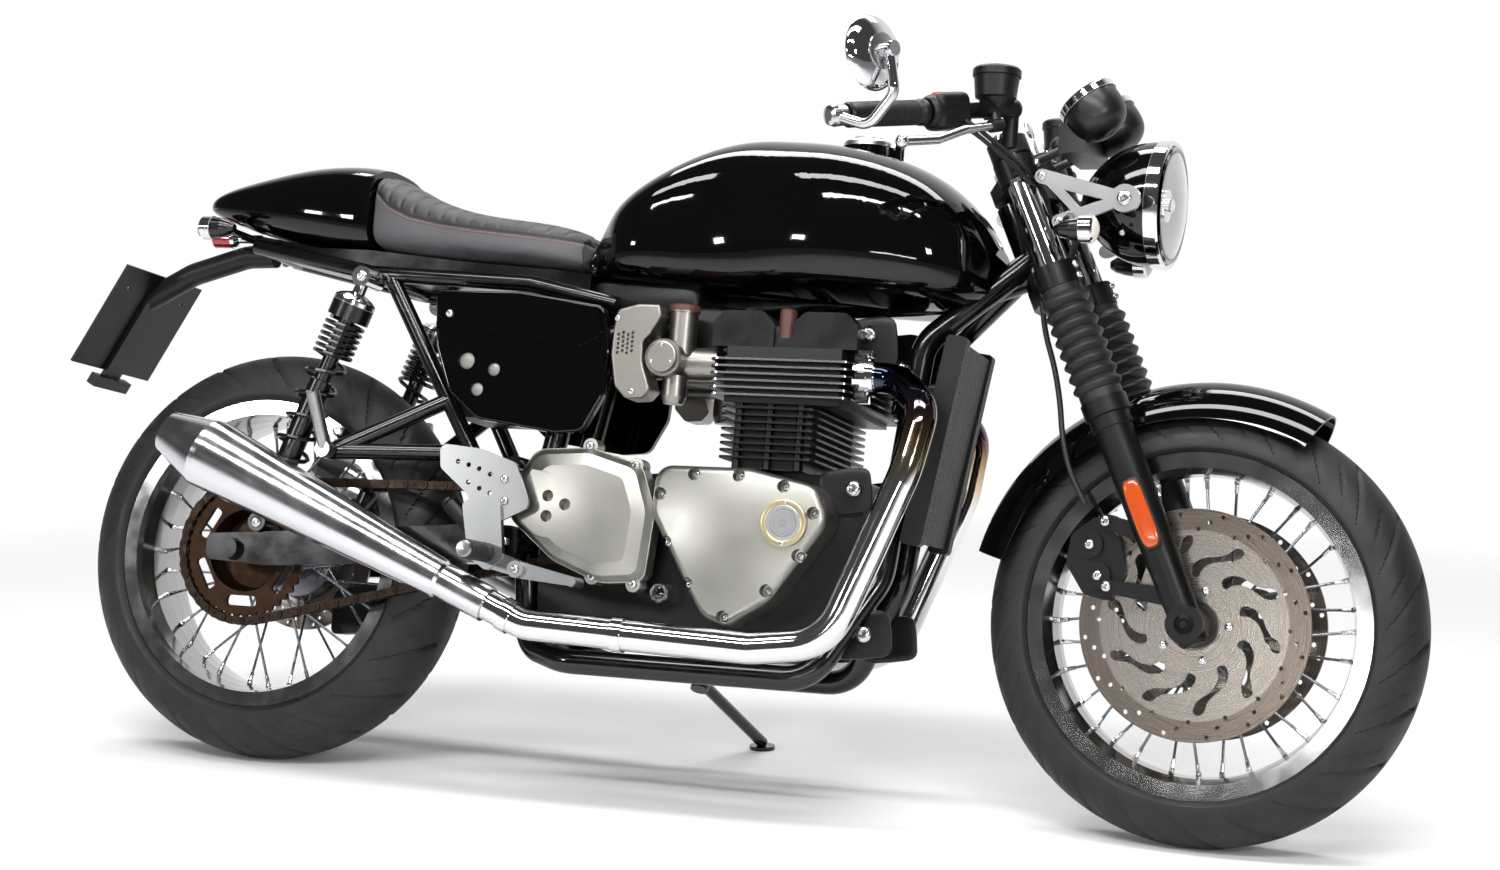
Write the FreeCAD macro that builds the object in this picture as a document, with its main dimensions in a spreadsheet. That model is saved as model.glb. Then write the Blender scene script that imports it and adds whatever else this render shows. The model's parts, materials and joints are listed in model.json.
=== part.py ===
import FreeCAD, Part
import math
import os

from FreeCAD import Placement, Rotation, Vector

# A cafe racer motorcycle with a parallel twin engine, parked on its side stand.
# Each piece is modelled on the upright machine: +X forward, +Y to the rider's left, +Z up,
# with zero on the ground below the rear wheel. The last section leans it onto its stand.

os.makedirs("parts", exist_ok=True)
doc = FreeCAD.newDocument("CafeRacer")

# Driving dimensions, in millimetres and degrees
DRIVING = {
    "wheelbase": 1415, "rake_angle": 24, "yoke_ahead": 36.75,
    "rear_axle_z": 310, "front_axle_z": 297,
    "lean_angle": 12, "steer_angle": -5,
    "origin_forward": 684, "origin_left": 211,
    "front_tyre_width": 120, "front_tyre_crown": 58, "front_tyre_wall": 7,
    "rear_tyre_width": 160, "rear_tyre_crown": 68, "rear_tyre_wall": 10,
    "rim_radius": 232, "rim_depth": 24, "rim_wall": 4.5, "rim_well": 6,
    "front_rim_half": 51.5, "rear_rim_half": 70,
    "spoke_count": 32, "spoke_radius": 2,
    "front_axle_radius": 10, "rear_axle_radius": 10, "axle_clearance": 0.3,
    "front_hub_half": 52, "front_hub_radius": 30, "front_flange_radius": 52,
    "rear_hub_half": 62, "rear_hub_radius": 38, "rear_flange_radius": 60,
    "disc_eye_radius": 34, "front_disc_radius": 155, "front_disc_offset": 64, "disc_thickness": 5,
    "rear_disc_radius": 110, "rear_disc_offset": 88,
    "chain_offset": 100, "chain_pitch": 15.875, "rear_teeth": 42, "front_teeth": 17,
    "roller_radius": 5, "chain_gap": 10, "chain_plate": 2.5, "chain_height": 15,
    "sprocket_thickness": 6.5, "sprocket_shaft_x": 555, "sprocket_shaft_z": 385,
    "pivot_x": 441, "pivot_z": 345, "swingarm_offset": 134, "swingarm_width": 28,
    "fork_offset": 100, "stanchion_radius": 20, "fork_lower_radius": 26, "fork_top_rise": 651,
    "top_yoke_rise": 605, "top_yoke_thickness": 22, "low_yoke_rise": 458, "low_yoke_thickness": 26,
    "gaiter_bottom_rise": 293, "gaiter_radius": 34, "gaiter_pleats": 8,
    "frame_tube_radius": 17.5, "frame_tube_offset": 108, "frame_rear_offset": 66, "frame_front_offset": 55,
    "subframe_tube_radius": 12, "subframe_tube_offset": 92,
    "exhaust_radius": 22, "silencer_radius": 52, "silencer_mouth": 31, "silencer_neck": 26,
    "tank_rear_x": 500, "filler_radius": 36, "lid_knuckle_half": 5, "lid_knuckle_radius": 4.5,
    "fin_thickness": 3, "fin_pitch": 10, "head_fin_count": 6, "barrel_fin_count": 8,
    "headlamp_radius": 89, "headlamp_back": 77, "headlamp_rise": 575, "headlamp_depth": 125,
    "clock_radius": 43.5, "bar_radius": 11, "grip_radius": 16.5,
    "shock_offset": 141, "spring_radius": 27, "spring_wire": 3.4,
    "stand_pivot_x": 650, "stand_pivot_y": 150, "stand_pivot_z": 168,
    "stand_reach": 195, "stand_forward": 42, "stand_tube_radius": 9, "stand_barrel_half": 13,
    "stand_foot_radius": 20,
    "number_plate_width": 214, "number_plate_height": 175, "number_plate_thickness": 4,
    "number_plate_tilt": 28.6, "plate_bolt_spacing": 150, "plate_bolt_height": 140,
    "plate_bolt_radius": 3.5,
    "tail_arm_radius": 18, "caliper_outer": 24, "airbox_half": 66, "rearset_offset": 164,
    "radiator_half": 90, "yoke_clamp_half": 16, "crankcase_nose_x": 955, "crankcase_nose_z": 400,
    "head_front_x": 935, "head_lug_z": 626,
    "side_gap": 0.3,
}
sheet = doc.addObject("Spreadsheet::Sheet", "Sizes")
for row, (alias, amount) in enumerate(DRIVING.items(), start=1):
    sheet.set(f"A{row}", alias)
    sheet.set(f"B{row}", str(amount))
    sheet.setAlias(f"B{row}", alias)
doc.recompute()


def size(alias):
    """The value of one named cell of the sheet."""
    return float(sheet.get(alias))


# Ways of making pieces
def rounded_wire(points, radius=0.0, closed=False):
    """Straight runs through the points, each corner turned by a tangent arc of the radius."""
    count = len(points)
    radii = list(radius) if isinstance(radius, (list, tuple)) else [radius] * count
    corners = []
    for i, point in enumerate(points):
        at_end = not closed and i in (0, count - 1)
        to_last = points[i - 1] - point
        to_next = points[(i + 1) % count] - point
        half_turn = to_last.getAngle(to_next) / 2
        straight = abs(half_turn - math.pi / 2) < 1e-3
        if at_end or straight or radii[i] <= 0:
            corners.append((point, None, point))
            continue
        to_last.normalize()
        to_next.normalize()
        back = radii[i] / math.tan(half_turn)
        inward = (to_last + to_next).normalize()
        middle = point + inward * (radii[i] / math.sin(half_turn) - radii[i])
        corners.append((point + to_last * back, middle, point + to_next * back))
    edges = []
    for i, (start, middle, end) in enumerate(corners):
        if middle is not None:
            edges.append(Part.Arc(start, middle, end).toShape())
        if i == count - 1 and not closed:
            break
        following = corners[(i + 1) % count][0]
        if (following - end).Length > 1e-6:
            edges.append(Part.LineSegment(end, following).toShape())
    return Part.Wire(edges)


def add(kind, name, place=None, **formulas):
    """One object of the document, its sizes bound to formulas over the sheet's cells."""
    piece = doc.addObject(kind, name)
    for name_of_size, formula in formulas.items():
        piece.setExpression(name_of_size, formula)
    if place is not None:
        piece.Placement = place
    return piece


def raw(name, shape):
    """A wire, or a solid that no ready-made object fits."""
    piece = doc.addObject("Part::Feature", name)
    piece.Shape = shape
    return piece


def along(start, direction):
    """The placement that turns +Z to the direction, at the start point."""
    return Placement(start, Rotation(Vector(0, 0, 1), direction))


def rod(name, start, end, radius):
    """A round bar from one point to another; the radius is a formula."""
    piece = add("Part::Cylinder", name, along(start, end - start), Radius=radius)
    piece.Height = (end - start).Length
    return piece


def block(name, corner, length, width, height):
    """A box from its low corner."""
    piece = add("Part::Box", name, Placement(corner, Rotation()))
    piece.Length, piece.Width, piece.Height = length, width, height
    return piece


def tube(name, points, radius, bend):
    """A round section carried along straight runs and tangent arcs."""
    path = raw(name + "Path", rounded_wire(points, bend))
    ring = add("Part::Circle", name + "Ring", along(points[0], points[1] - points[0]), Radius=radius)
    piece = add("Part::Sweep", name)
    piece.Sections = [ring]
    piece.Spine = (path, [f"Edge{i + 1}" for i in range(len(path.Shape.Edges))])
    piece.Solid = True
    piece.Frenet = False
    return piece


def spin(name, outline, centre, radius=0.0):
    """A profile of (sideways, outward) points turned about the Y axis through the centre."""
    points = [centre + Vector(0, across, out) for across, out in outline]
    profile = raw(name + "Profile", rounded_wire(points, radius, closed=True))
    piece = add("Part::Revolution", name)
    piece.Source = profile
    piece.Axis = Vector(0, 1, 0)
    piece.Base = centre
    piece.Angle = 360
    piece.Solid = True
    return piece


def turned(name, outline, start, direction, radius=0.0, curved=None):
    """A profile of (along, outward) points turned about a line from the start.

    The points from curved[0] to curved[1] lie on one smooth curve.
    """
    points = [Vector(out, 0, far) for far, out in outline]
    if curved is None:
        wire = rounded_wire(points, radius, closed=True)
    else:
        first, last = curved
        curve = Part.BSplineCurve()
        curve.interpolate(points[first:last + 1])
        rest = points[last:] + points[:first + 1]
        wire = Part.Wire([curve.toShape()] + [Part.LineSegment(a, b).toShape() for a, b in zip(rest, rest[1:])])
    profile = raw(name + "Profile", wire)
    piece = add("Part::Revolution", name)
    piece.Source = profile
    piece.Axis = Vector(0, 0, 1)
    piece.Base = Vector(0, 0, 0)
    piece.Angle = 360
    piece.Solid = True
    piece.Placement = along(start, direction)
    return piece


def plate(name, outline, side, thickness, radius=0.0, base=Vector(0, 0, 0)):
    """A flat (x, z) outline, measured from a base, made solid from y = side to y = side + thickness."""
    points = [base + Vector(x, side, z) for x, z in outline]
    profile = raw(name + "Outline", rounded_wire(points, radius, closed=True))
    piece = add("Part::Extrusion", name)
    piece.Base = profile
    piece.DirMode = "Custom"
    piece.Dir = Vector(0, 1, 0)
    piece.LengthFwd = abs(thickness)
    piece.Reversed = thickness < 0
    piece.Solid = True
    return piece


def pierced(name, outer, holes, thickness, way=Vector(0, 1, 0)):
    """A flat outline with holes through it, made solid along the way."""
    profile = raw(name + "Face", Part.Face([outer] + holes, "Part::FaceMakerBullseye"))
    piece = add("Part::Extrusion", name)
    piece.Base = profile
    piece.DirMode = "Custom"
    piece.Dir = way
    piece.LengthFwd = abs(thickness)
    piece.Reversed = thickness < 0
    piece.Solid = True
    return piece


def circle(centre, radius, way=Vector(0, 1, 0)):
    return Part.Wire([Part.Circle(centre, way, radius).toShape()])


def polar(centre, radius, turn):
    """A point round a centre, in the plane across the Y axis; the turn runs from straight up."""
    return centre + Vector(radius * math.sin(turn), 0, radius * math.cos(turn))


def link(name, start, end, near, far, side, thickness, base=Vector(0, 0, 0)):
    """A flat link that tapers between two round ends, from y = side to y = side + thickness."""
    a = base + Vector(start[0], side, start[1])
    b = base + Vector(end[0], side, end[1])
    line = b - a
    turn = math.atan2(line.x, line.z)
    spread = math.acos((near - far) / line.Length)
    left = [polar(a, near, turn - spread), polar(b, far, turn - spread)]
    right = [polar(b, far, turn + spread), polar(a, near, turn + spread)]
    edges = [Part.LineSegment(*left).toShape(), Part.Arc(left[1], polar(b, far, turn), right[0]).toShape(),
             Part.LineSegment(*right).toShape(), Part.Arc(right[1], polar(a, -near, turn), left[0]).toShape()]
    return pierced(name, Part.Wire(edges), [], thickness)


def softened(name, base, side, radius):
    """The base with its edges in the plane y = side rounded."""
    doc.recompute()
    rim = [i + 1 for i, edge in enumerate(base.Shape.Edges)
           if abs(edge.BoundBox.YMin - side) < 0.01 and abs(edge.BoundBox.YMax - side) < 0.01]
    piece = add("Part::Fillet", name)
    piece.Base = base
    piece.Edges = [(i, radius, radius) for i in rim]
    return piece


def loft(name, wires, ruled=False):
    """A skin through closed wires, made solid."""
    piece = add("Part::Loft", name)
    piece.Sections = [raw(f"{name}Section{i + 1}", wire) for i, wire in enumerate(wires)]
    piece.Solid = True
    piece.Ruled = ruled
    return piece


def fuse(name, pieces):
    whole = add("Part::MultiFuse", name)
    whole.Shapes = list(pieces)
    return whole


def cut(name, base, tools):
    """The base less its tools."""
    tool = tools[0] if len(tools) == 1 else fuse(name + "Tools", tools)
    whole = add("Part::Cut", name)
    whole.Base = base
    whole.Tool = tool
    return whole


def mirrored(piece):
    """The same piece on the other side of the machine."""
    other = add("Part::Mirroring", piece.Name + "Left")
    other.Source = piece
    other.Normal = Vector(0, 1, 0)
    other.Base = Vector(0, 0, 0)
    return other


def together(name, pieces):
    """Pieces that don't touch, kept side by side in one node."""
    whole = add("Part::Compound", name)
    whole.Links = list(pieces)
    return whole


def pair(name, piece):
    return together(name, [piece, mirrored(piece)])


nodes = {}


def node(name, piece, body="chassis"):
    """Names a finished sub-part and the body that carries it."""
    piece.Label = name
    nodes[name] = (piece, body)
    return piece


# Places that several pieces share
rake = math.radians(size("rake_angle"))
front_axle = Vector(size("wheelbase"), 0, size("front_axle_z"))
rear_axle = Vector(0, 0, size("rear_axle_z"))
front_radius = size("rim_radius") + size("front_tyre_wall") + size("front_tyre_crown")
rear_radius = size("rim_radius") + size("rear_tyre_wall") + size("rear_tyre_crown")
swing_pivot = Vector(size("pivot_x"), 0, size("pivot_z"))
steer_line = Vector(-math.sin(rake), 0, math.cos(rake))
steer_side = front_axle - Vector(math.cos(rake), 0, math.sin(rake)) * size("yoke_ahead")
steer_foot = steer_side - steer_line * (steer_side.z / math.cos(rake))
ground_z = rear_axle.z - rear_radius


def crown_radius(width, crown):
    """The radius of a tyre's round crown from its width and its height over the side walls."""
    return ((width / 2) ** 2 + crown ** 2) / (2 * crown)


# The side stand's hinge: the folded leg lies straight back, so the axis is square to both positions
lean = math.radians(size("lean_angle"))
stand_pivot = Vector(size("stand_pivot_x"), size("stand_pivot_y"), size("stand_pivot_z"))
foot_out = size("stand_pivot_y") + size("stand_reach")
set_down = crown_radius(size("rear_tyre_width"), size("rear_tyre_crown")) * (1 / math.cos(lean) - 1)
stand_foot = Vector(size("stand_pivot_x") + size("stand_forward"), foot_out,
                    ground_z + foot_out * math.tan(lean) - set_down)
stand_axis = (stand_foot - stand_pivot).cross(Vector(-1, 0, 0)).normalize()


def from_axle(forward, side, up):
    """A point of the front end, measured from the front axle on the machine standing straight."""
    return front_axle + Vector(forward, side, up)


def on_fork(rise, side):
    """The point of a fork leg's centre line at a rise above the front axle, which it runs through."""
    return from_axle(-rise * math.tan(rake), side, rise)


def on_steering(height):
    """The point of the steering axis at a height."""
    return Vector(steer_foot.x - height * math.tan(rake), 0, height)


def down_tube_x(height):
    """Where the frame's down tubes are, fore and aft, at a height."""
    share = (height - down_low.z) / (down_high.z - down_low.z)
    return down_low.x + (down_high.x - down_low.x) * share


def beside_fork(rise):
    """The point of the steering axis square across from the fork legs at a rise above the axle."""
    at = on_fork(rise, 0) - steer_foot
    return steer_foot + steer_line * at.dot(steer_line)


down_high = Vector(on_steering(790).x - 143, 0, 664)
down_low = Vector(on_steering(790).x - 180, 0, 330)


# Wheels: a pneumatic tyre on a spoked alloy rim
def tyre(name, centre, radius, width, crown, rim_half):
    """A round crown over straight side walls, its beads seated between the rim's flanges."""
    bead = rim_half - size("rim_wall") - size("side_gap")
    seat = size("rim_radius") - size("rim_depth") / 2
    top = size("rim_radius") + 1
    shoulder = radius - crown
    points = [
        centre + Vector(0, -width / 2, shoulder), centre + Vector(0, 0, radius),
        centre + Vector(0, width / 2, shoulder), centre + Vector(0, rim_half, top),
        centre + Vector(0, bead, top), centre + Vector(0, bead, seat),
        centre + Vector(0, -bead, seat), centre + Vector(0, -bead, top),
        centre + Vector(0, -rim_half, top),
    ]
    edges = [Part.Arc(points[0], points[1], points[2]).toShape()]
    ring = points[2:] + [points[0]]
    edges += [Part.LineSegment(a, b).toShape() for a, b in zip(ring, ring[1:])]
    profile = raw(name + "Profile", Part.Wire(edges))
    piece = add("Part::Revolution", name)
    piece.Source = profile
    piece.Axis = Vector(0, 1, 0)
    piece.Base = centre
    piece.Angle = 360
    piece.Solid = True
    return piece


def rim(name, centre, half):
    """A rolled rim: two flanges, a well between them and a hollow under the beads."""
    top = size("rim_radius")
    wall = size("rim_wall")
    seat = top - size("rim_depth") / 2 - size("side_gap")
    low = top - size("rim_depth")
    well = low - size("rim_well")
    outline = [
        (-half, top), (-half + wall, top), (-half + wall, seat), (half - wall, seat),
        (half - wall, top), (half, top), (half, low + 3), (half - 12, low),
        (half * 0.45, well + 2), (0, well), (-half * 0.45, well + 2), (-half + 12, low), (-half, low + 3),
    ]
    return spin(name, outline, centre)


def spoke_ends(centre, flange_side, flange_radius, rim_side, turn, lay):
    """Where one spoke leaves its hub flange and where it meets the rim."""
    reach = size("rim_radius") - size("rim_depth") - size("rim_well") - 3 * size("side_gap")
    start = centre + Vector(flange_radius * math.sin(turn), flange_side, flange_radius * math.cos(turn))
    far = turn + lay
    end = centre + Vector(reach * math.sin(far), rim_side, reach * math.cos(far))
    return start, end


def hub(name, centre, half, barrel, flange, bore):
    """A turned hub with two flanges and its crossed spokes."""
    outline = [
        (-half, bore), (-half, barrel), (-half + 6, flange), (-half + 14, flange), (-half + 20, barrel),
        (half - 20, barrel), (half - 14, flange), (half - 6, flange), (half, barrel), (half, bore),
    ]
    body = spin(name + "Body", outline, centre)
    pieces = [body]
    count = int(size("spoke_count"))
    for i in range(count):
        side = 1 if i % 2 else -1
        lay = math.radians(24) * (1 if i % 4 < 2 else -1)
        turn = 2 * math.pi * i / count
        head = side * (half - 10)
        start, end = spoke_ends(centre, head, flange - 5, side * 5, turn, lay)
        pieces.append(rod(f"{name}Spoke{i + 1}", start, end, "Sizes.spoke_radius"))
    return fuse(name, pieces)


gap = size("axle_clearance")
node("front_tyre", tyre("FrontTyre", front_axle, front_radius, size("front_tyre_width"),
                        size("front_tyre_crown"), size("front_rim_half")), "front_wheel")
node("rear_tyre", tyre("RearTyre", rear_axle, rear_radius, size("rear_tyre_width"),
                       size("rear_tyre_crown"), size("rear_rim_half")), "rear_wheel")
node("front_rim", rim("FrontRim", front_axle, size("front_rim_half")), "front_wheel")
node("rear_rim", rim("RearRim", rear_axle, size("rear_rim_half")), "rear_wheel")
node("front_hub", hub("FrontHub", front_axle, size("front_hub_half"), size("front_hub_radius"),
                      size("front_flange_radius"), size("front_axle_radius") + gap), "front_wheel")
node("rear_hub", hub("RearHub", rear_axle, size("rear_hub_half"), size("rear_hub_radius"),
                     size("rear_flange_radius"), size("rear_axle_radius") + gap), "rear_wheel")


def disc_window(centre, side, start, low, high):
    """One S-shaped window of a brake disc, between two radii."""
    places_on = []
    count = 5
    for edge_of in (1, -1):
        for i in range(count):
            share = (i if edge_of > 0 else count - 1 - i) / (count - 1)
            out = low + (high - low) * share
            sway = math.radians(30) * (share - 0.16 * math.sin(2 * math.pi * share))
            half = (5 + 4.5 * math.sin(math.pi * share)) / out
            places_on.append(polar(centre + Vector(0, side, 0), out, start + sway + edge_of * half))
    curve = Part.BSplineCurve()
    curve.interpolate(places_on, PeriodicFlag=True)
    return Part.Wire([curve.toShape()])


def drilled(centre, side, low, high, rows, count, radius):
    """Holes in slanting rows between two radii."""
    holes = []
    for i in range(count):
        for j in range(rows):
            out = low + (high - low) * j / (rows - 1)
            turn = 2 * math.pi * (i + 0.28 * j) / count
            holes.append(circle(polar(centre + Vector(0, side, 0), out, turn), radius))
    return holes


def front_discs():
    """Twin discs with S-shaped windows and drilled holes, bolted to the hub's ends."""
    side = size("front_disc_offset")
    half = size("disc_thickness") / 2
    end = size("front_hub_half") + size("side_gap")
    inner = size("disc_eye_radius")
    outer = size("front_disc_radius")
    at = front_axle + Vector(0, -side - half, 0)
    windows = [disc_window(front_axle, -side - half, 2 * math.pi * i / 10, inner + 32, outer - 37)
               for i in range(10)]
    holes = drilled(front_axle, -side - half, outer - 27, outer - 7, 3, 16, 3.2)
    blade = pierced("FrontDiscBlade", circle(at, outer), [circle(at, inner)] + windows + holes, 2 * half)
    boss = spin("FrontDiscBoss", [(-side + half, inner), (-side + half, inner + 22), (-end, inner + 16),
                                  (-end, 16), (-end - 5, 16), (-end - 6, inner)], front_axle)
    return pair("FrontDiscs", fuse("FrontDisc", [blade, boss]))


node("front_discs", front_discs(), "front_wheel")


def rear_disc():
    """A drilled disc on its carrier, outside the hub's left end."""
    side = size("rear_disc_offset")
    half = size("disc_thickness") / 2
    bore = size("rear_axle_radius") + gap + 8
    end = size("rear_hub_half") + size("side_gap")
    outer = size("rear_disc_radius")
    at = rear_axle + Vector(0, side - half, 0)
    holes = drilled(rear_axle, side - half, outer - 24, outer - 7, 3, 14, 3)
    blade = pierced("RearDiscBlade", circle(at, outer), [circle(at, 50)] + holes, 2 * half)
    boss = spin("RearDiscBoss", [(side, 50), (side, 64), (side - half, 64), (end, 50), (end, bore),
                                 (end + 8, bore), (end + 8, 40)], rear_axle)
    return fuse("RearDisc", [blade, boss])


node("rear_disc", rear_disc(), "rear_wheel")


def pitch_radius(teeth):
    """The radius of the circle through a sprocket's roller centres."""
    return size("chain_pitch") / (2 * math.sin(math.pi / teeth))


def rear_sprocket():
    """The driven sprocket on its carrier, its teeth inside the chain's rollers."""
    side = -size("chain_offset")
    half = size("sprocket_thickness") / 2
    teeth = int(size("rear_teeth"))
    tip = pitch_radius(teeth) - size("roller_radius") - 0.6
    root = tip - 5
    bore = size("rear_axle_radius") + gap + 8
    end = -size("rear_hub_half") - size("side_gap")
    at = rear_axle + Vector(0, side - half, 0)
    edge_points = []
    for i in range(teeth):
        for share, out in ((0, root), (0.35, tip), (0.65, tip)):
            edge_points.append(polar(at, out, 2 * math.pi * (i + share) / teeth))
    holes = [circle(at, 62)]
    for i in range(6):
        turn = math.pi * i / 3
        corners = [polar(at, out, turn + lean_of) for out, lean_of in
                   ((72, -0.34), (87, -0.3), (87, 0.3), (72, 0.34))]
        holes.append(rounded_wire(corners, 5, closed=True))
    blade = pierced("SprocketBlade", rounded_wire(edge_points, 0, closed=True), holes, 2 * half)
    boss = spin("SprocketBoss", [(side - half, 62), (side - half, 66), (side + half, 66),
                                 (end, 58), (end, bore), (end - 12, bore), (end - 12, 54)], rear_axle)
    return fuse("RearSprocket", [blade, boss])


node("rear_sprocket", rear_sprocket(), "rear_wheel")


# Drive chain: a fixed loop of rollers between two bands of side plates
def chain():
    side = -size("chain_offset")
    big = pitch_radius(size("rear_teeth"))
    small = pitch_radius(size("front_teeth"))
    shaft = Vector(size("sprocket_shaft_x"), side, size("sprocket_shaft_z"))
    axle = Vector(rear_axle.x, side, rear_axle.z)
    span = shaft - axle
    slope = math.atan2(span.z, span.x)
    spread = math.acos((big - small) / span.Length)

    def loop(grow):
        """The closed outline of the chain, grown outward from its pitch line."""
        up, down = slope + spread, slope - spread
        rear_r, front_r = big + grow, small + grow

        def at(centre, radius, turn):
            return centre + Vector(radius * math.cos(turn), 0, radius * math.sin(turn))

        rear_arc = Part.Arc(at(axle, rear_r, up), at(axle, rear_r, slope + math.pi),
                            at(axle, rear_r, down)).toShape()
        front_arc = Part.Arc(at(shaft, front_r, down), at(shaft, front_r, slope),
                             at(shaft, front_r, up)).toShape()
        low = Part.LineSegment(at(axle, rear_r, down), at(shaft, front_r, down)).toShape()
        high = Part.LineSegment(at(shaft, front_r, up), at(axle, rear_r, up)).toShape()
        return Part.Wire([rear_arc, low, front_arc, high])

    half = size("chain_height") / 2
    near = size("chain_gap") / 2
    thickness = size("chain_plate")

    def band(low):
        """One row of side plates, as a closed band round both sprockets."""
        outer = Part.Face(loop(half)).extrude(Vector(0, thickness, 0))
        inner = Part.Face(loop(-half)).extrude(Vector(0, thickness, 0))
        return outer.cut(inner).translated(Vector(0, low, 0))

    line = loop(0)
    links = 2 * round(line.Length / size("chain_pitch") / 2)
    rollers = []
    for point in line.discretize(Number=links + 1)[:-1]:
        start = point - Vector(0, near + thickness / 2, 0)
        rollers.append(Part.makeCylinder(size("roller_radius"), 2 * near + thickness, start,
                                         Vector(0, 1, 0)))
    return raw("Chain", band(near).multiFuse([band(-near - thickness)] + rollers))


node("chain", chain())


# Frame: a twin cradle of steel tube round the engine
def frame():
    y = size("frame_tube_offset")
    r = "Sizes.frame_tube_radius"
    head_low = beside_fork(size("low_yoke_rise")) + steer_line * (size("low_yoke_thickness") / 2 + size("side_gap"))
    head_high = beside_fork(size("top_yoke_rise")) - steer_line * (size("top_yoke_thickness") / 2 + 4)
    head = rod("SteeringHead", head_low, head_high, "Sizes.frame_tube_radius + 12")
    bore = rod("SteeringHeadBore", head_low - steer_line * 5, head_high + steer_line * 5,
               "Sizes.frame_tube_radius")
    spine_root = on_steering(head_low.z + 26) + Vector(-8, 0, 0)
    spine = tube("Spine", [spine_root, Vector(spine_root.x - 103, 0, 738), Vector(600, 0, 710)],
                 "Sizes.frame_tube_radius + 6", 120)
    inboard = size("frame_rear_offset")
    front = size("frame_front_offset")
    neck = on_steering(head_low.z + 38) + Vector(-8, 0, 0)
    sides = []
    for sign in (-1, 1):
        points = [neck + Vector(0, sign * 14, 0), down_high + Vector(0, sign * front, 0),
                  down_low + Vector(0, sign * front, 0), Vector(down_low.x - 78, sign * y, 182),
                  Vector(530, sign * y, 182), Vector(455, sign * inboard, 200),
                  Vector(size("pivot_x"), sign * inboard, size("pivot_z")),
                  Vector(500, sign * inboard, 640), Vector(600, sign * 14, 703)]
        sides.append(tube(f"Cradle{sign + 2}", points, r, [0, 60, 70, 60, 60, 40, 80, 60, 0]))
    cross_low = rod("CradleCross", Vector(560, -y, 183), Vector(560, y, 183), r)
    pivot_reach = size("swingarm_offset") - size("swingarm_width") / 2 - size("side_gap")
    cross_pivot = rod("PivotCross", swing_pivot - Vector(0, pivot_reach, 0),
                      swing_pivot + Vector(0, pivot_reach, 0), "Sizes.frame_tube_radius - 1.5")
    ear = add("Part::Box", "StandEar", along(stand_pivot, stand_axis).multiply(Placement(
        Vector(-13, -56, size("stand_barrel_half") + 0.5), Rotation())))
    ear.Length, ear.Width, ear.Height = 26, 72, 6
    lugs, bosses = [], []
    guard_face = size("rearset_offset") - size("side_gap")
    for sign in (-1, 1):
        low, high = size("crankcase_nose_z"), size("head_lug_z")
        lugs.append(rod(f"EngineLug{sign + 2}", Vector(down_tube_x(low), sign * front, low),
                        Vector(size("crankcase_nose_x") + size("side_gap"), sign * front, low), "12"))
        lugs.append(rod(f"HeadLug{sign + 2}", Vector(down_tube_x(high), sign * front, high),
                        Vector(size("head_front_x") + size("side_gap"), sign * front, high), "10"))
        bosses.append(rod(f"RearsetBoss{sign + 2}", Vector(452, sign * inboard, 458),
                          Vector(452, sign * guard_face, 458), "9"))
    post = rod("StandPost", Vector(stand_pivot.x, y, 182), Vector(stand_pivot.x, y + 2, 209), "8")
    mount = rod("TankMount", Vector(720, 0, 712), Vector(720, 0, 772 - size("side_gap")), "12")
    whole = fuse("FrameTubes", [head, spine, cross_low, cross_pivot, ear, post, mount] + sides + lugs + bosses)
    return cut("Frame", whole, [bore])


node("frame", frame())


tail_root = Vector(-48, 0, 780)


def subframe():
    """The seat rails, their stays and the passenger footrest triangles."""
    y = size("subframe_tube_offset")
    r = "Sizes.subframe_tube_radius"
    pieces = []
    for sign in (-1, 1):
        rail = tube(f"SeatRail{sign + 2}", [Vector(560, sign * y, 700), Vector(420, sign * y, 728),
                                            Vector(160, sign * y, 738), Vector(-60, sign * 60, 782)], r, 60)
        stay = tube(f"SeatStay{sign + 2}", [Vector(191, sign * y, 735), Vector(352, sign * 74, 464),
                                            Vector(448, sign * 63, 384)], r, 60)
        peg_top = rod(f"PegTop{sign + 2}", Vector(150, sign * 145, 462), Vector(300, sign * 80, 552), r)
        peg_low = rod(f"PegLow{sign + 2}", Vector(150, sign * 145, 462), Vector(352, sign * 74, 476), r)
        pieces += [rail, stay, peg_top, peg_low]
    for sign in (-1, 1):
        pieces.append(rod(f"PegKnuckle{sign + 2}", Vector(150, sign * 138, 462), Vector(150, sign * 157, 462),
                          "13"))
    pieces.append(rod("RailCross", Vector(160, -y, 738), Vector(160, y, 738), r))
    pieces.append(rod("TailCross", tail_root - Vector(0, 60, 0), tail_root + Vector(0, 60, 0), r))
    copes = [rod(f"Cope{sign + 2}", Vector(size("pivot_x"), sign * size("frame_rear_offset"), size("pivot_z")),
                 Vector(500, sign * size("frame_rear_offset"), 640), "Sizes.frame_tube_radius + Sizes.side_gap")
             for sign in (-1, 1)]
    return cut("Subframe", fuse("SubframeTubes", pieces), copes)


node("subframe", subframe())


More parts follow.
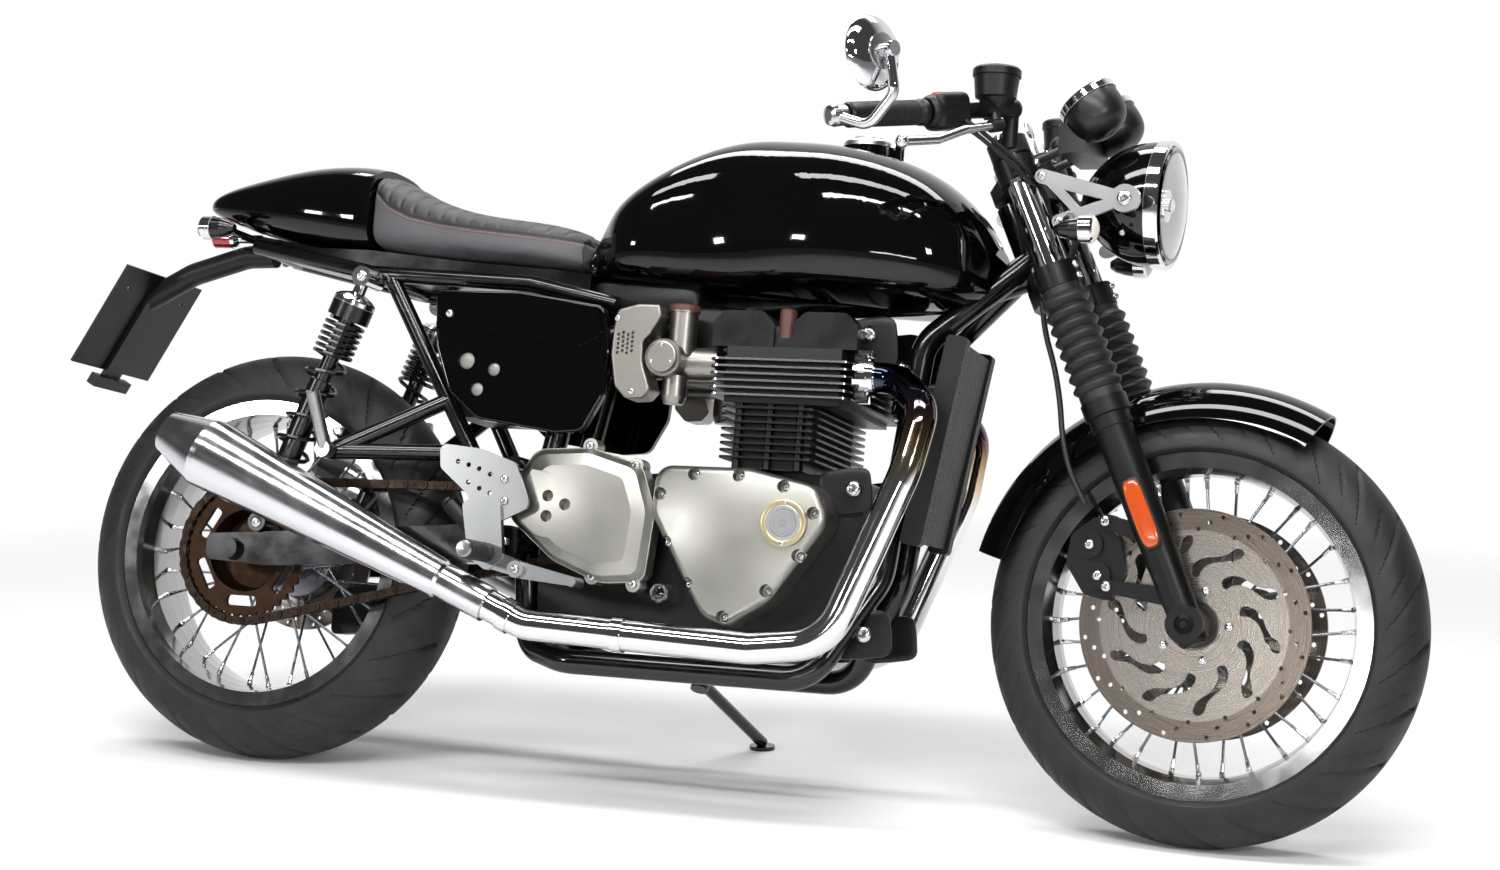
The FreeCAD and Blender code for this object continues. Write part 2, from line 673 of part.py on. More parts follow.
def swingarm():
    """Two box arms from the pivot to the wheel spindle, with a brace behind the pivot."""
    y = size("swingarm_offset")
    w = size("swingarm_width")
    arms = []
    for sign in (-1, 1):
        far = swing_pivot.x - rear_axle.x
        rise = swing_pivot.z - rear_axle.z
        arm = plate(f"Arm{sign + 2}", [(-42, -18), (-42, 20), (60, 28), (far - 41, rise + 23),
                                       (far + 17, rise + 23), (far + 22, rise), (far + 17, rise - 24),
                                       (far - 41, rise - 33), (60, -22)],
                    sign * y - w / 2, w, 12, rear_axle)
        arms.append(arm)
    brace_at = swing_pivot - Vector(56, 0, 3)
    brace = rod("Brace", brace_at - Vector(0, y, 0), brace_at + Vector(0, y, 0), "Sizes.frame_tube_radius + 2")
    spindle = rod("Spindle", Vector(0, -y - 24, rear_axle.z), Vector(0, y + 24, rear_axle.z),
                  "Sizes.rear_axle_radius")
    nuts = [rod(f"SpindleNut{sign + 2}", Vector(0, sign * (y + w / 2), rear_axle.z),
                Vector(0, sign * (y + w / 2 + 12), rear_axle.z), "Sizes.rear_axle_radius + 6")
            for sign in (-1, 1)]
    whole = fuse("SwingarmBody", arms + [brace, spindle] + nuts)
    return whole


node("swingarm", swingarm())


# Engine: a parallel twin, its crankcase, barrel, head, cam cover and outer covers
def crankcase():
    nose = (size("crankcase_nose_x"), size("crankcase_nose_z"))
    outline = [(470, 330), (475, 250), (560, 205), (830, 205), (893, 245), (928, 310), nose, (935, 468),
               (735, 468), (560, 450), (490, 420)]
    return plate("Crankcase", outline, -88, 176, [25, 25, 25, 25, 25, 20, 0, 6, 6, 25, 25])


def finned(name, low, high, first, count, x_back, x_front, half, skin):
    """A block with a stack of thin cooling fins round it."""
    core = block(name + "Core", Vector(x_back + skin, -half + skin, low),
                 x_front - x_back - 2 * skin, 2 * (half - skin), high - low)
    pieces = [core]
    for i in range(count):
        z = first + i * size("fin_pitch")
        outline = [Vector(x_back, -half, z), Vector(x_front, -half, z), Vector(x_front, half, z),
                   Vector(x_back, half, z)]
        fin = add("Part::Extrusion", f"{name}Fin{i + 1}", LengthFwd="Sizes.fin_thickness")
        fin.Base = raw(f"{name}FinOutline{i + 1}", rounded_wire(outline, 14, closed=True))
        fin.DirMode = "Custom"
        fin.Dir = Vector(0, 0, 1)
        fin.Solid = True
        pieces.append(fin)
    return fuse(name, pieces)


def barrel():
    """Eight cooling fins round two cylinders, with the long studs' pillars between them."""
    block_of_fins = finned("BarrelFins", 468.3, 560, 482, int(size("barrel_fin_count")), 745, 886, 135, 18)
    pillars = [rod(f"Pillar{j}{k}", Vector(x, y, 468.3), Vector(x, y, 560), "6")
               for j, x in enumerate((770, 815, 860)) for k, y in enumerate((-120, 120))]
    return fuse("Barrel", [block_of_fins] + pillars)


def cam_cover():
    """A cover over each camshaft, joined by a low bridge with a rubber plug at each side."""
    low = 640.3
    bridge = plate("CamBridge", [(738, low), (738, 655), (922, 655), (922, low)], -118, 236, 5)
    humps = []
    for k, (back, ahead) in enumerate(((722, 812), (840, 934))):
        hump = plate(f"CamHump{k}", [(back, low), (back, 676), (back + 16, 692), (ahead - 18, 692), (ahead, 674),
                                     (ahead, low)], -124, 248, [0, 10, 12, 12, 10, 0])
        humps.append(hump)
        for sign in (-1, 1):
            humps.append(rod(f"CamBoss{k}{sign + 2}", Vector(back + 12, sign * 112, low),
                             Vector(back + 12, sign * 112, 668), "11"))
    plugs = [rod(f"CamPlug{sign + 2}", Vector(826, sign * 106, low), Vector(826, sign * 106, 694), "11")
             for sign in (-1, 1)]
    return fuse("CamCover", [bridge] + humps + plugs)


node("crankcase", crankcase())
node("barrel", barrel())
node("head", finned("Head", 560.3, 640, 568, int(size("head_fin_count")), 728,
                    size("head_front_x"), 150, 20))
node("cam_cover", cam_cover())


def clutch_cover():
    """A domed cover with sunken screws round its rim and a two-part filler cap."""
    face = -150
    outline = [(661, 466), (800, 467.5), (900, 448), (921, 400), (842, 285), (782, 246), (745, 258), (658, 398)]
    lid = plate("ClutchLid", outline, -88.3, face + 88.3, [26, 40, 34, 34, 60, 20, 30, 34])
    lid = softened("ClutchDome", lid, face, 11)
    sinks = [rod(f"ClutchSink{k}", Vector(x, -132, z), Vector(x, -160, z), "9")
             for k, (x, z) in enumerate([(720, 455), (786, 456), (852, 444), (897, 409), (880, 350), (838, 299),
                                         (778, 259), (722, 302), (686, 358), (672, 425)])]
    cap = turned("ClutchCap", [(-4, 0), (-4, 33), (5, 33), (7, 31), (7, 23), (4, 21), (4, 0)],
                 Vector(858, face, 393), Vector(0, -1, 0))
    return fuse("ClutchCoverWhole", [cut("ClutchCover", lid, sinks), cap])


def sprocket_cover():
    """An oval dome over the front sprocket, with a sunken eye, three holes and four lugs."""
    low, high = -114, -142
    centre = Vector(560, 0, 392)
    outline = [(438, 415), (475, 480), (560, 486), (640, 464), (664, 400), (656, 300), (590, 294), (515, 322),
               (444, 378)]
    radii = [28, 30, 50, 24, 60, 18, 60, 60, 30]
    rim = [(centre.x + (x - centre.x), centre.z + (z - centre.z)) for x, z in outline]
    base = plate("SprocketRim", rim, low, high - low, radii)
    levels = [(high - 0.01, 0.985), (-152, 0.9), (-159, 0.72)]
    wires = []
    for side, share in levels:
        points = [Vector(centre.x + (x - centre.x) * share, side, centre.z + (z - centre.z) * share)
                  for x, z in outline]
        wires.append(rounded_wire(points, [r * share for r in radii], closed=True))
    dome = loft("SprocketDome", wires, ruled=True)
    lugs = [rod(f"CoverLug{k}", Vector(x, -142, z), Vector(x, low, z), "11")
            for k, (x, z) in enumerate([(558, 488), (630, 463), (640, 296), (577, 303)])]
    bosses = [rod(f"CoverBoss{k}", Vector(x, -120, z), Vector(x, -88.3, z), "8")
              for k, (x, z) in enumerate([(632, 445), (628, 325)])]
    eye = plate("CoverEye", [(430, 456), (505, 446), (560, 425), (590, 398), (562, 375), (510, 352), (430, 372)],
                -153.5, -12, [0, 30, 30, 9, 30, 30, 0])
    holes = [rod(f"CoverHole{k}", Vector(x, -136, z), Vector(x, -165, z), "8.5")
             for k, (x, z) in enumerate([(504, 413), (531, 402), (504, 384)])]
    whole = fuse("SprocketCoverBody", [base, dome] + lugs + bosses)
    return cut("SprocketCover", whole, [eye] + holes)


def right_covers():
    """The triangular clutch cover and the oval sprocket cover behind it."""
    return together("RightCovers", [clutch_cover(), sprocket_cover()])


def left_covers():
    """The round generator cover and the gear-change cover behind it."""
    dome = turned("GeneratorCover", [(0, 0), (0, 98), (40, 94), (62, 60), (66, 0)],
                  Vector(805, 88.3, 366), Vector(0, 1, 0))
    rear = plate("GearCover", [(470, 395), (500, 455), (660, 458), (690, 420), (690, 300), (600, 245),
                               (500, 300)], 88.3, 55, 22)
    return together("LeftCovers", [dome, rear])


node("right_covers", right_covers())
node("left_covers", left_covers())


def throttle_bodies():
    """Two throttle bodies dressed like carburettors, each with its pierced trim."""
    mouth = rod("Inlet", Vector(615, -98, 616), Vector(728 - 0.3, -98, 616), "24")
    body = turned("ThrottleDrum", [(0, 0), (0, 27), (48, 27), (50, 25), (50, 23), (55, 22), (56, 20), (56, 0)],
                  Vector(658, -100, 618), Vector(0, -1, 0))
    top = turned("ThrottleTop", [(0, 0), (0, 20), (61, 20), (61, 22), (69, 22), (71, 20), (71, 0)],
                 Vector(672, -110, 626), Vector(0, 0, 1))
    bowl = turned("ThrottleBowl", [(0, 0), (0, 14), (10, 18), (40, 18), (40, 0)], Vector(666, -112, 556),
                  Vector(0, 0, 1))
    trim = plate("TrimShell", [(580, 655), (584, 684), (616, 693), (648, 693), (652, 678), (636, 650), (627, 640),
                               (628, 612), (643, 572), (632, 559), (606, 557), (588, 575), (579, 620)],
                 -106, -44, [0, 8, 8, 5, 5, 12, 8, 20, 6, 6, 10, 10, 20])
    trim = softened("TrimSoft", trim, -150, 4)
    holes = [rod(f"TrimHole{i}{j}", Vector(590 + 7 * i, -144, 622 + 6.5 * j + 3.2 * (i % 2)),
                 Vector(590 + 7 * i, -154, 622 + 6.5 * j + 3.2 * (i % 2)), "2.3")
             for i in range(4) for j in range(5)]
    return pair("ThrottleBodies", fuse("ThrottleBody", [mouth, body, top, bowl, cut("Trim", trim, holes)]))


node("throttle_bodies", throttle_bodies())


# Exhaust: two chromed pipes and two reverse-cone silencers
silencer_front = Vector(445, -194, 252)
silencer_tail = Vector(-72, -233, 470)
silencer_line = (silencer_tail - silencer_front).normalize()


def exhaust_pipe():
    """A pipe from the finned port clamp, looped down and back under the engine."""
    port = Vector(size("head_front_x") + size("side_gap"), -104, 606)
    points = [port, Vector(990, -104, 606), Vector(1046, -160, 560), Vector(1030, -176, 470),
              Vector(985, -176, 352), Vector(938, -176, 232), Vector(830, -174, 218),
              Vector(640, -178, 224), silencer_front - silencer_line * 60, silencer_front]
    pipe = tube("ExhaustPipe", points, "Sizes.exhaust_radius", [0, 46, 46, 120, 200, 80, 90, 200, 60, 0])
    petals = []
    count = 12
    for i in range(count):
        for share, out in ((0.0, 27), (0.2, 38), (0.55, 38), (0.75, 27)):
            turn = 2 * math.pi * (i + share) / count
            petals.append(port + Vector(0, out * math.sin(turn), out * math.cos(turn)))
    rosette = pierced("PortRosette", rounded_wire(petals, 0, closed=True), [], 16, Vector(1, 0, 0))
    clamp = rod("PortClamp", port + Vector(14, 0, 0), port + Vector(25, 0, 0), "28")
    bands = []
    for k, (at, way) in enumerate(((Vector(640, -178, 224), Vector(1, 0, -0.03)),
                                   (silencer_front - silencer_line * 34, silencer_line * -1))):
        bands.append(rod(f"PipeBand{k}", at - way.normalize() * 8, at + way * 8, "Sizes.exhaust_radius + 2.5"))
    return fuse("ExhaustSide", [pipe, rosette, clamp] + bands)


def silencer():
    """A long cone that widens backwards, then a short cone down to the mouth."""
    length = (silencer_tail - silencer_front).Length
    neck, wide, mouth = size("silencer_neck"), size("silencer_radius"), size("silencer_mouth")
    outline = [(0.3, 0), (0.3, neck), (75, neck), (80, neck + 3), (length - 78, wide),
               (length - 70, wide), (length, mouth), (length, mouth - 4), (length - 60, mouth - 4),
               (length - 60, 0)]
    return turned("Silencer", outline, silencer_front, silencer_line)


node("exhaust_pipes", pair("ExhaustPipes", exhaust_pipe()))
node("silencers", pair("Silencers", silencer()))


def radiator():
    """A finned core between its tanks, leaning with the frame's down tubes and bolted to them."""
    half = size("radiator_half")
    low, high = 388, 664
    front_low, front_high = down_low.x + 56, down_high.x + 66
    depth = 26
    core = plate("RadiatorCore", [(front_low - depth, low), (front_low, low - 4), (front_high, high - 4),
                                  (front_high - depth, high)], 12 - half, 2 * half - 24)
    sides = []
    for sign in (-1, 1):
        near = sign * half if sign < 0 else half - 20
        sides.append(plate(f"RadiatorTank{sign + 2}", [(front_low - depth, low - 8), (front_low + 4, low - 12),
                                                       (front_high + 4, high + 4), (front_high - depth, high + 8)],
                           near, 20, 6))
    mounts = []
    for sign in (-1, 1):
        for k, height in enumerate((430, 600)):
            back = down_tube_x(height) + size("frame_tube_radius") + 1.1
            mounts.append(rod(f"RadiatorMount{sign + 2}{k}", Vector(back, sign * size("frame_front_offset"), height),
                              Vector(back + 20, sign * size("frame_front_offset"), height), "6"))
    return fuse("Radiator", [core] + sides + mounts)


node("radiator", radiator())


# Fuel tank, seat, cowl and side panels
def ring(x, low, high, half, square_low, square_high, count=20):
    """A closed curve across the machine: a squashed circle, squarer low down than on top."""
    middle = (low + high) / 2
    points = []
    for i in range(count):
        turn = 2 * math.pi * i / count - math.pi / 2
        c, s = math.cos(turn), math.sin(turn)
        power = square_high if s > 0 else square_low
        y = half * math.copysign(abs(c) ** power, c)
        z = (high - middle) * math.copysign(abs(s) ** power, s)
        points.append(Vector(x, y, middle + z))
    curve = Part.BSplineCurve()
    curve.interpolate(points, PeriodicFlag=True)
    return Part.Wire([curve.toShape()])


lid_hinge = Vector(893 + size("filler_radius") + 11, 0, 958)


def tank():
    """A long tank, hollowed at the rider's knees, over the frame's spine."""
    stations = [
        (size("tank_rear_x"), 742, 790, 62), (545, 738, 868, 98), (640, 732, 930, 118), (740, 726, 957, 126),
        (800, 724, 955, 146), (855, 722, 950, 160), (950, 718, 930, 165), (1035, 716, 890, 146),
        (1085, 724, 838, 96), (1104, 736, 806, 56),
    ]
    body = loft("TankBody", [ring(x, low, high, half, 0.45, 0.8) for x, low, high, half in stations])
    tunnel = block("Tunnel", Vector(480, -36, 700), 640, 72, 72)
    head_room = block("HeadRoom", Vector(1030, -60, 700), 90, 120, 92)
    neck = rod("FillerNeck", Vector(893, 0, 930), Vector(893, 0, 953), "Sizes.filler_radius + 4")
    ears = []
    for sign in (-1, 1):
        near = sign * (size("lid_knuckle_half") + size("side_gap"))
        ears.append(rod(f"LidEar{sign + 2}", lid_hinge + Vector(0, near, 0),
                        lid_hinge + Vector(0, near + sign * 4, 0), "Sizes.lid_knuckle_radius"))
        ears.append(block(f"LidEarFoot{sign + 2}", Vector(lid_hinge.x - 4.5, min(near, near + sign * 4), 928),
                          9, 4, lid_hinge.z - 928))
    return cut("Tank", fuse("TankWhole", [body, neck] + ears), [tunnel, head_room])


node("tank", tank())


def filler_lid():
    """The flip-up cap over the neck, with its hinge lug at the front."""
    half = size("lid_knuckle_half")
    r = size("filler_radius")
    cap = turned("Cap", [(0, 0), (0, r), (7, r), (9, r - 2), (9, r - 9), (11, r - 11), (15, r - 13), (17, 0)],
                 Vector(893, 0, 953.4), Vector(0, 0, 1))
    arm = block("LidArm", Vector(920, -half, 955.5), lid_hinge.x - 920, 2 * half, 5)
    knuckle = rod("LidKnuckle", lid_hinge - Vector(0, half, 0), lid_hinge + Vector(0, half, 0),
                  "Sizes.lid_knuckle_radius")
    return fuse("FillerLid", [cap, arm, knuckle])


node("filler_lid", filler_lid(), "filler_lid")


def seat():
    """A low padded seat with a hump against the cowl."""
    nose = size("tank_rear_x") - size("side_gap")
    stations = [(150, 778, 903, 100), (200, 772, 877, 112), (300, 764, 841, 118), (400, 758, 826, 118),
                (470, 753, 816, 102), (nose, 752, 806, 86)]
    return loft("Seat", [ring(x, low, high, half, 0.4, 0.6) for x, low, high, half in stations])


def seat_cowl():
    """The racing tail behind the seat."""
    stations = [(-166, 842, 856, 30), (-150, 833, 866, 50), (-110, 819, 880, 72), (-30, 798, 899, 94),
                (60, 780, 913, 104), (149, 768, 908, 108)]
    return loft("SeatCowl", [ring(x, low, high, half, 0.6, 0.75) for x, low, high, half in stations])


node("seat", seat())
node("seat_cowl", seat_cowl())


def side_panel():
    """A moulded panel with a raised upper band and three pierced rounds."""
    outline = [(293, 707), (425, 708), (560, 690), (574, 628), (569, 560), (542, 508), (500, 504), (375, 520),
               (326, 560), (300, 625)]
    shell = plate("PanelShell", outline, -128, -14, [12, 60, 14, 40, 30, 20, 20, 30, 30, 40])
    shell = softened("PanelSoft", shell, -142, 4)
    rounds = [rod(f"PanelRound{k}", Vector(x, -137, z), Vector(x, -150, z), str(r))
              for k, (x, z, r) in enumerate([(352, 604, 13), (396, 593, 10.5), (372, 563, 10.5)])]
    band = plate("SideBand", [(300, 702), (425, 703), (553, 686), (562, 650), (520, 626), (365, 646), (303, 648)],
                 -141.5, -3.5, [8, 50, 8, 14, 14, 40, 6])
    upright = size("frame_rear_offset") + size("frame_tube_radius") + size("side_gap")
    airbox_side = size("airbox_half") + size("side_gap")
    pegs = [rod("PanelPegFront", Vector(492, -130, 600), Vector(492, -upright, 600), "6"),
            rod("PanelPegRear", Vector(340, -130, 650), Vector(340, -airbox_side, 650), "6")]
    return fuse("SidePanelWhole", [cut("SidePanelBody", shell, rounds), band] + pegs)


node("side_panels", pair("SidePanels", side_panel()))
node("airbox", block("Airbox", Vector(300, -size("airbox_half"), 530), 146, 2 * size("airbox_half"), 160))


# Rear suspension
def spring(name, start, line, length, radius, wire):
    """A coil spring of six-sided wire, wound close near its start and open towards its end."""
    close_turns, open_turns, steps = 6, 6, 12
    close_pitch = 2 * wire + 2.4
    open_pitch = (length - close_turns * close_pitch) / open_turns
    sections = []
    for i in range(steps * (close_turns + open_turns) + 1):
        wound = i / steps
        far = close_pitch * min(wound, close_turns) + open_pitch * max(wound - close_turns, 0)
        outward = Vector(math.cos(2 * math.pi * wound), math.sin(2 * math.pi * wound), 0)
        middle = outward * radius + Vector(0, 0, far)
        corners = [middle + outward * wire * math.cos(k * math.pi / 3)
                   + Vector(0, 0, wire * math.sin(k * math.pi / 3)) for k in range(6)]
        sections.append(Part.makePolygon(corners + corners[:1]))
    piece = raw(name, Part.makeLoft(sections, True, True))
    piece.Placement = along(start, line)
    return piece


def shock():
    """One damper in its coil spring, with an eye at each end."""
    y = -size("shock_offset")
    top = Vector(175, y, 723)
    low = Vector(42, y, 351)
    line = (low - top).normalize()
    length = (low - top).Length
    wire, coil = size("spring_wire"), size("spring_radius")
    reach = size("shock_offset") - size("subframe_tube_offset") - size("subframe_tube_radius") - size("side_gap")
    eye_top = rod("ShockEyeTop", top + Vector(0, -14, 0), top + Vector(0, reach, 0), "15")
    eye_low = rod("ShockEyeLow", low + Vector(0, -14, 0), low + Vector(0, 14, 0), "14")
    seat_top, seat_low = 68, length - 52
    cup = coil + wire + 1
    body = turned("ShockBody", [(0, 0), (0, 9), (26, 10), (31, cup - 8), (36, cup - 1), (38, cup), (seat_top, cup),
                                (seat_top, 12), (165, 12), (166, 17), (seat_low, 17), (seat_low, cup),
                                (seat_low + 7, cup), (seat_low + 12, 16), (length - 34, 13), (length, 12),
                                (length, 0)], top, line)
    start = top + line * (seat_top + wire + 0.3)
    coils = spring("Spring", start, line, seat_low - seat_top - 2 * wire - 0.6, coil, wire)
    return together("Shock", [fuse("ShockWhole", [eye_top, eye_low, body]), coils])


node("shocks", pair("Shocks", shock()))


# Footrests, pedals and pegs
def rearset():
    """The heel guard, the footrest, the pedal and the folded passenger footrest of one side."""
    y = -size("rearset_offset")
    at = Vector(0, y, 0)
    outline = [at + Vector(x, 0, z) for x, z in [(336, 479), (400, 474), (458, 456), (485, 394), (430, 366),
                                                 (396, 386), (386, 408), (340, 444)]]
    holes = [circle(at + Vector(x, 0, z), 3.6) for x, z in
             [(367, 454), (384, 450), (401, 445), (419, 438), (386, 425), (404, 417), (421, 411)]]
    guard = pierced("HeelGuard", rounded_wire(outline, [10, 60, 12, 12, 12, 14, 14, 12], closed=True), holes, -5)
    peg = turned("Footrest", [(0, 0), (0, 9), (12, 9), (14, 12), (88, 12), (91, 10), (92, 0)],
                 Vector(425, -158, 326), Vector(0, -1, 0))
    hanger = plate("RearsetHanger", [(380, 400), (440, 400), (452, 318), (428, 300), (398, 318)], y + 0.5, -10, 10)
    pivot = rod("PedalPivot", Vector(484, -163, 304), Vector(484, -200, 304), "12")
    stay = link("PedalStay", (430, 318), (484, 304), 14, 11, -163.5, -8)
    pedal = link("Pedal", (484, 304), (577, 291), 12, 6, -186, -9)
    toe = rod("PedalToe", Vector(577, -184, 291), Vector(577, -216, 291), "7")
    hinge = rod("PassengerHinge", Vector(150, -157.3, 462), Vector(150, -176, 462), "12")
    passenger = fuse("PassengerPeg", [hinge, rod("PassengerBar", Vector(150, -166, 463), Vector(134, -190, 543),
                                                 "10")])
    return together("Rearset", [fuse("RearsetWhole", [guard, peg, hanger, pivot, stay, pedal, toe]), passenger])


rearset_right = rearset()
node("rearsets", together("Rearsets", [rearset_right, mirrored(rearset_right)]))


def rear_caliper():
    """A small caliper slung below the swingarm, its bridge just outside the disc's rim."""
    reach = size("rear_disc_radius") + 4
    body = plate("RearCaliper", [(60, -114), (150, -104), (160, -48), (120, -30), (60, -48)], 72, 34, 10,
                 rear_axle)
    carrier = plate("CaliperCarrier", [(-24, -24), (-24, 24), (24, 24), (64, -24), (150, -40), (160, -96),
                                       (80, -106), (40, -40)], 104, 8, 12, rear_axle)
    arm_face = size("swingarm_offset") - size("swingarm_width") / 2 - size("side_gap")
    collar = rod("CarrierCollar", Vector(0, 104, rear_axle.z), Vector(0, arm_face, rear_axle.z), "20")
    bore = rod("CarrierBore", Vector(0, 100, rear_axle.z), Vector(0, arm_face + 4, rear_axle.z),
               "Sizes.rear_axle_radius + Sizes.axle_clearance")
    slot = spin("RearCaliperSlot", [(size("rear_disc_offset") - 5, 0), (size("rear_disc_offset") - 5, reach),
                                    (size("rear_disc_offset") + 5, reach), (size("rear_disc_offset") + 5, 0)],
                rear_axle)
    return cut("RearCaliperWhole", fuse("RearCaliperBody", [body, carrier, collar]), [slot, bore])


node("rear_caliper", rear_caliper())


# Tail: the curved hanger, the number plate and the lamps
plate_place = Placement(Vector(-339, 0, 586), Rotation(Vector(0, 1, 0), size("number_plate_tilt")))


def tail_hanger():
    """A curved arm from under the cowl, with the plate's backing strip and its lower bar."""
    front = tail_root - Vector(size("subframe_tube_radius") + size("side_gap"), 0, 2)
    path = [front, Vector(-110, 0, 776), Vector(-205, 0, 746), Vector(-310, 0, 688)]
    arm = tube("TailArm", path, "Sizes.tail_arm_radius", 80)
    behind = add("Part::Box", "BehindPlate", plate_place.multiply(Placement(
        Vector(-100 + size("side_gap"), -60, -60), Rotation())))
    behind.Length, behind.Width, behind.Height = 100, 120, 260
    strip = add("Part::Box", "PlateStrip", plate_place.multiply(Placement(Vector(-2, -22, -16), Rotation())))
    strip.Length, strip.Width, strip.Height = 9, 44, 158
    bar = add("Part::Box", "PlateBar", plate_place.multiply(Placement(Vector(-2, -46, -26), Rotation())))
    bar.Length, bar.Width, bar.Height = 18, 92, 18
    return cut("TailHanger", fuse("TailHangerBody", [arm, strip, bar]), [behind])


node("tail_hanger", tail_hanger())


def number_plate():
    """A blank plate on its holder, sloping back under the tail."""
    thickness = size("number_plate_thickness")
    piece = add("Part::Box", "PlateBlank", Length="Sizes.number_plate_thickness",
                Width="Sizes.number_plate_width", Height="Sizes.number_plate_height")
    piece.Placement = plate_place.multiply(Placement(
        Vector(-thickness, -size("number_plate_width") / 2, 0), Rotation()))
    holes = []
    for sign in (-1, 1):
        side = sign * size("plate_bolt_spacing") / 2
        ends = [plate_place.multVec(Vector(x, side, size("plate_bolt_height"))) for x in (-thickness - 2, 2)]
        holes.append(rod(f"PlateHole{sign + 2}", ends[0], ends[1], "Sizes.plate_bolt_radius"))
    return cut("NumberPlate", piece, holes)


node("number_plate", number_plate())


def rear_lamps():
    """Two bullet indicators on a cross arm, and the tail lamp below the cowl."""
    lamps = [turned(f"RearIndicator{k}", [(0, 0), (0, 6), (8, 11), (20, 15), (36, 17), (36, 18), (52, 18), (55, 15),
                                          (56, 0)], Vector(-72, y, 800), Vector(-1, 0, 0))
             for k, y in enumerate((-112, 112))]
    arm_z = 776.6 + size("tail_arm_radius") + 6 + size("side_gap")
    arms = rod("RearIndicatorArm", Vector(-95, -110, arm_z), Vector(-95, 110, arm_z), "6")
    tail = turned("TailLamp", [(0, 0), (0, 7), (38, 7), (44, 13), (52, 14.5), (78, 14.5), (82, 12), (84, 0)],
                  Vector(-90, 0, arm_z + 3.8), Vector(-1, 0, 0))
    return fuse("RearLamps", lamps + [arms, tail])


node("rear_lamps", rear_lamps())


# Front fork, modelled straight ahead and turned with the steering
def yoke(name, rise, thickness):
    """A flat bridge that tapers from the stem out to a clamp round each fork tube."""
    y = size("fork_offset")
    ahead = size("yoke_ahead")
    centre = beside_fork(rise)
    outline = [(-26, -24), (-26, 24), (ahead - 14, y), (ahead + 14, y), (34, 24), (34, -24),
               (ahead + 14, -y), (ahead - 14, -y)]
    points = [Vector(x, side, -thickness / 2) for x, side in outline]
    bridge = add("Part::Extrusion", name + "Bridge")
    bridge.Base = raw(name + "Outline", rounded_wire(points, [16, 16, 0, 0, 16, 16, 0, 0], closed=True))
    bridge.DirMode = "Custom"
    bridge.Dir = Vector(0, 0, 1)
    bridge.LengthFwd = thickness
    bridge.Solid = True
    bridge.Placement = Placement(centre, Rotation(Vector(0, 1, 0), -size("rake_angle")))
    clamps = [rod(f"{name}Clamp{sign + 2}", on_fork(rise, sign * y) - steer_line * size("yoke_clamp_half"),
                  on_fork(rise, sign * y) + steer_line * size("yoke_clamp_half"), "Sizes.stanchion_radius + 9")
              for sign in (-1, 1)]
    return [bridge] + clamps


def yokes():
    """Two clamps over the fork tubes, joined by the steering stem."""
    y = size("fork_offset")
    top, low = size("top_yoke_rise"), size("low_yoke_rise")
    stem = rod("Stem", beside_fork(low), beside_fork(top), "Sizes.frame_tube_radius - 2")
    bridges = yoke("TopYoke", top, size("top_yoke_thickness")) + yoke("LowYoke", low, size("low_yoke_thickness"))
    ears = []
    for sign in (-1, 1):
        bolt = from_axle(-225, sign * 106, 593)
        face = size("fork_offset") + size("stanchion_radius") + 1.5 - size("side_gap")
        ears.append(rod(f"LampEar{sign + 2}", on_fork(598, sign * y), bolt, "8"))
        ears.append(rod(f"LampEarBoss{sign + 2}", bolt, from_axle(-225, sign * face, 593), "8"))
    whole = fuse("YokesWhole", bridges + [stem] + ears)
    bores = [rod(f"YokeBore{sign + 2}", on_fork(303, sign * y), on_fork(683, sign * y),
                 "Sizes.stanchion_radius") for sign in (-1, 1)]
    return cut("Yokes", whole, bores)


def stanchion():
    y = -size("fork_offset")
    return rod("Stanchion", on_fork(size("gaiter_bottom_rise") + 2, y), on_fork(size("fork_top_rise"), y),
               "Sizes.stanchion_radius")


def gaiter():
    """A rubber bellows from the lower leg to the bottom yoke, with a plain cuff at each end."""
    y = -size("fork_offset")
    low = size("gaiter_bottom_rise")
    high = size("low_yoke_rise") - (size("yoke_clamp_half") + size("side_gap")) * math.cos(rake)
    start = on_fork(low, y)
    length = (on_fork(high, y) - start).Length
    pleats = int(size("gaiter_pleats"))
    cuff, collar = 12, 10
    step = (length - cuff - collar) / pleats
    outer = size("gaiter_radius")
    inner = outer - 6.5
    hole = size("stanchion_radius") + size("side_gap")
    outline = [(0, hole), (0, inner + 2), (cuff, inner + 2), (cuff + 0.1, inner)]
    for i in range(pleats):
        outline += [(cuff + (i + 0.42) * step, outer), (cuff + (i + 0.58) * step, outer),
                    (cuff + (i + 1) * step, inner)]
    outline += [(length, inner), (length, hole)]
    return turned("Gaiter", outline, start, steer_line)


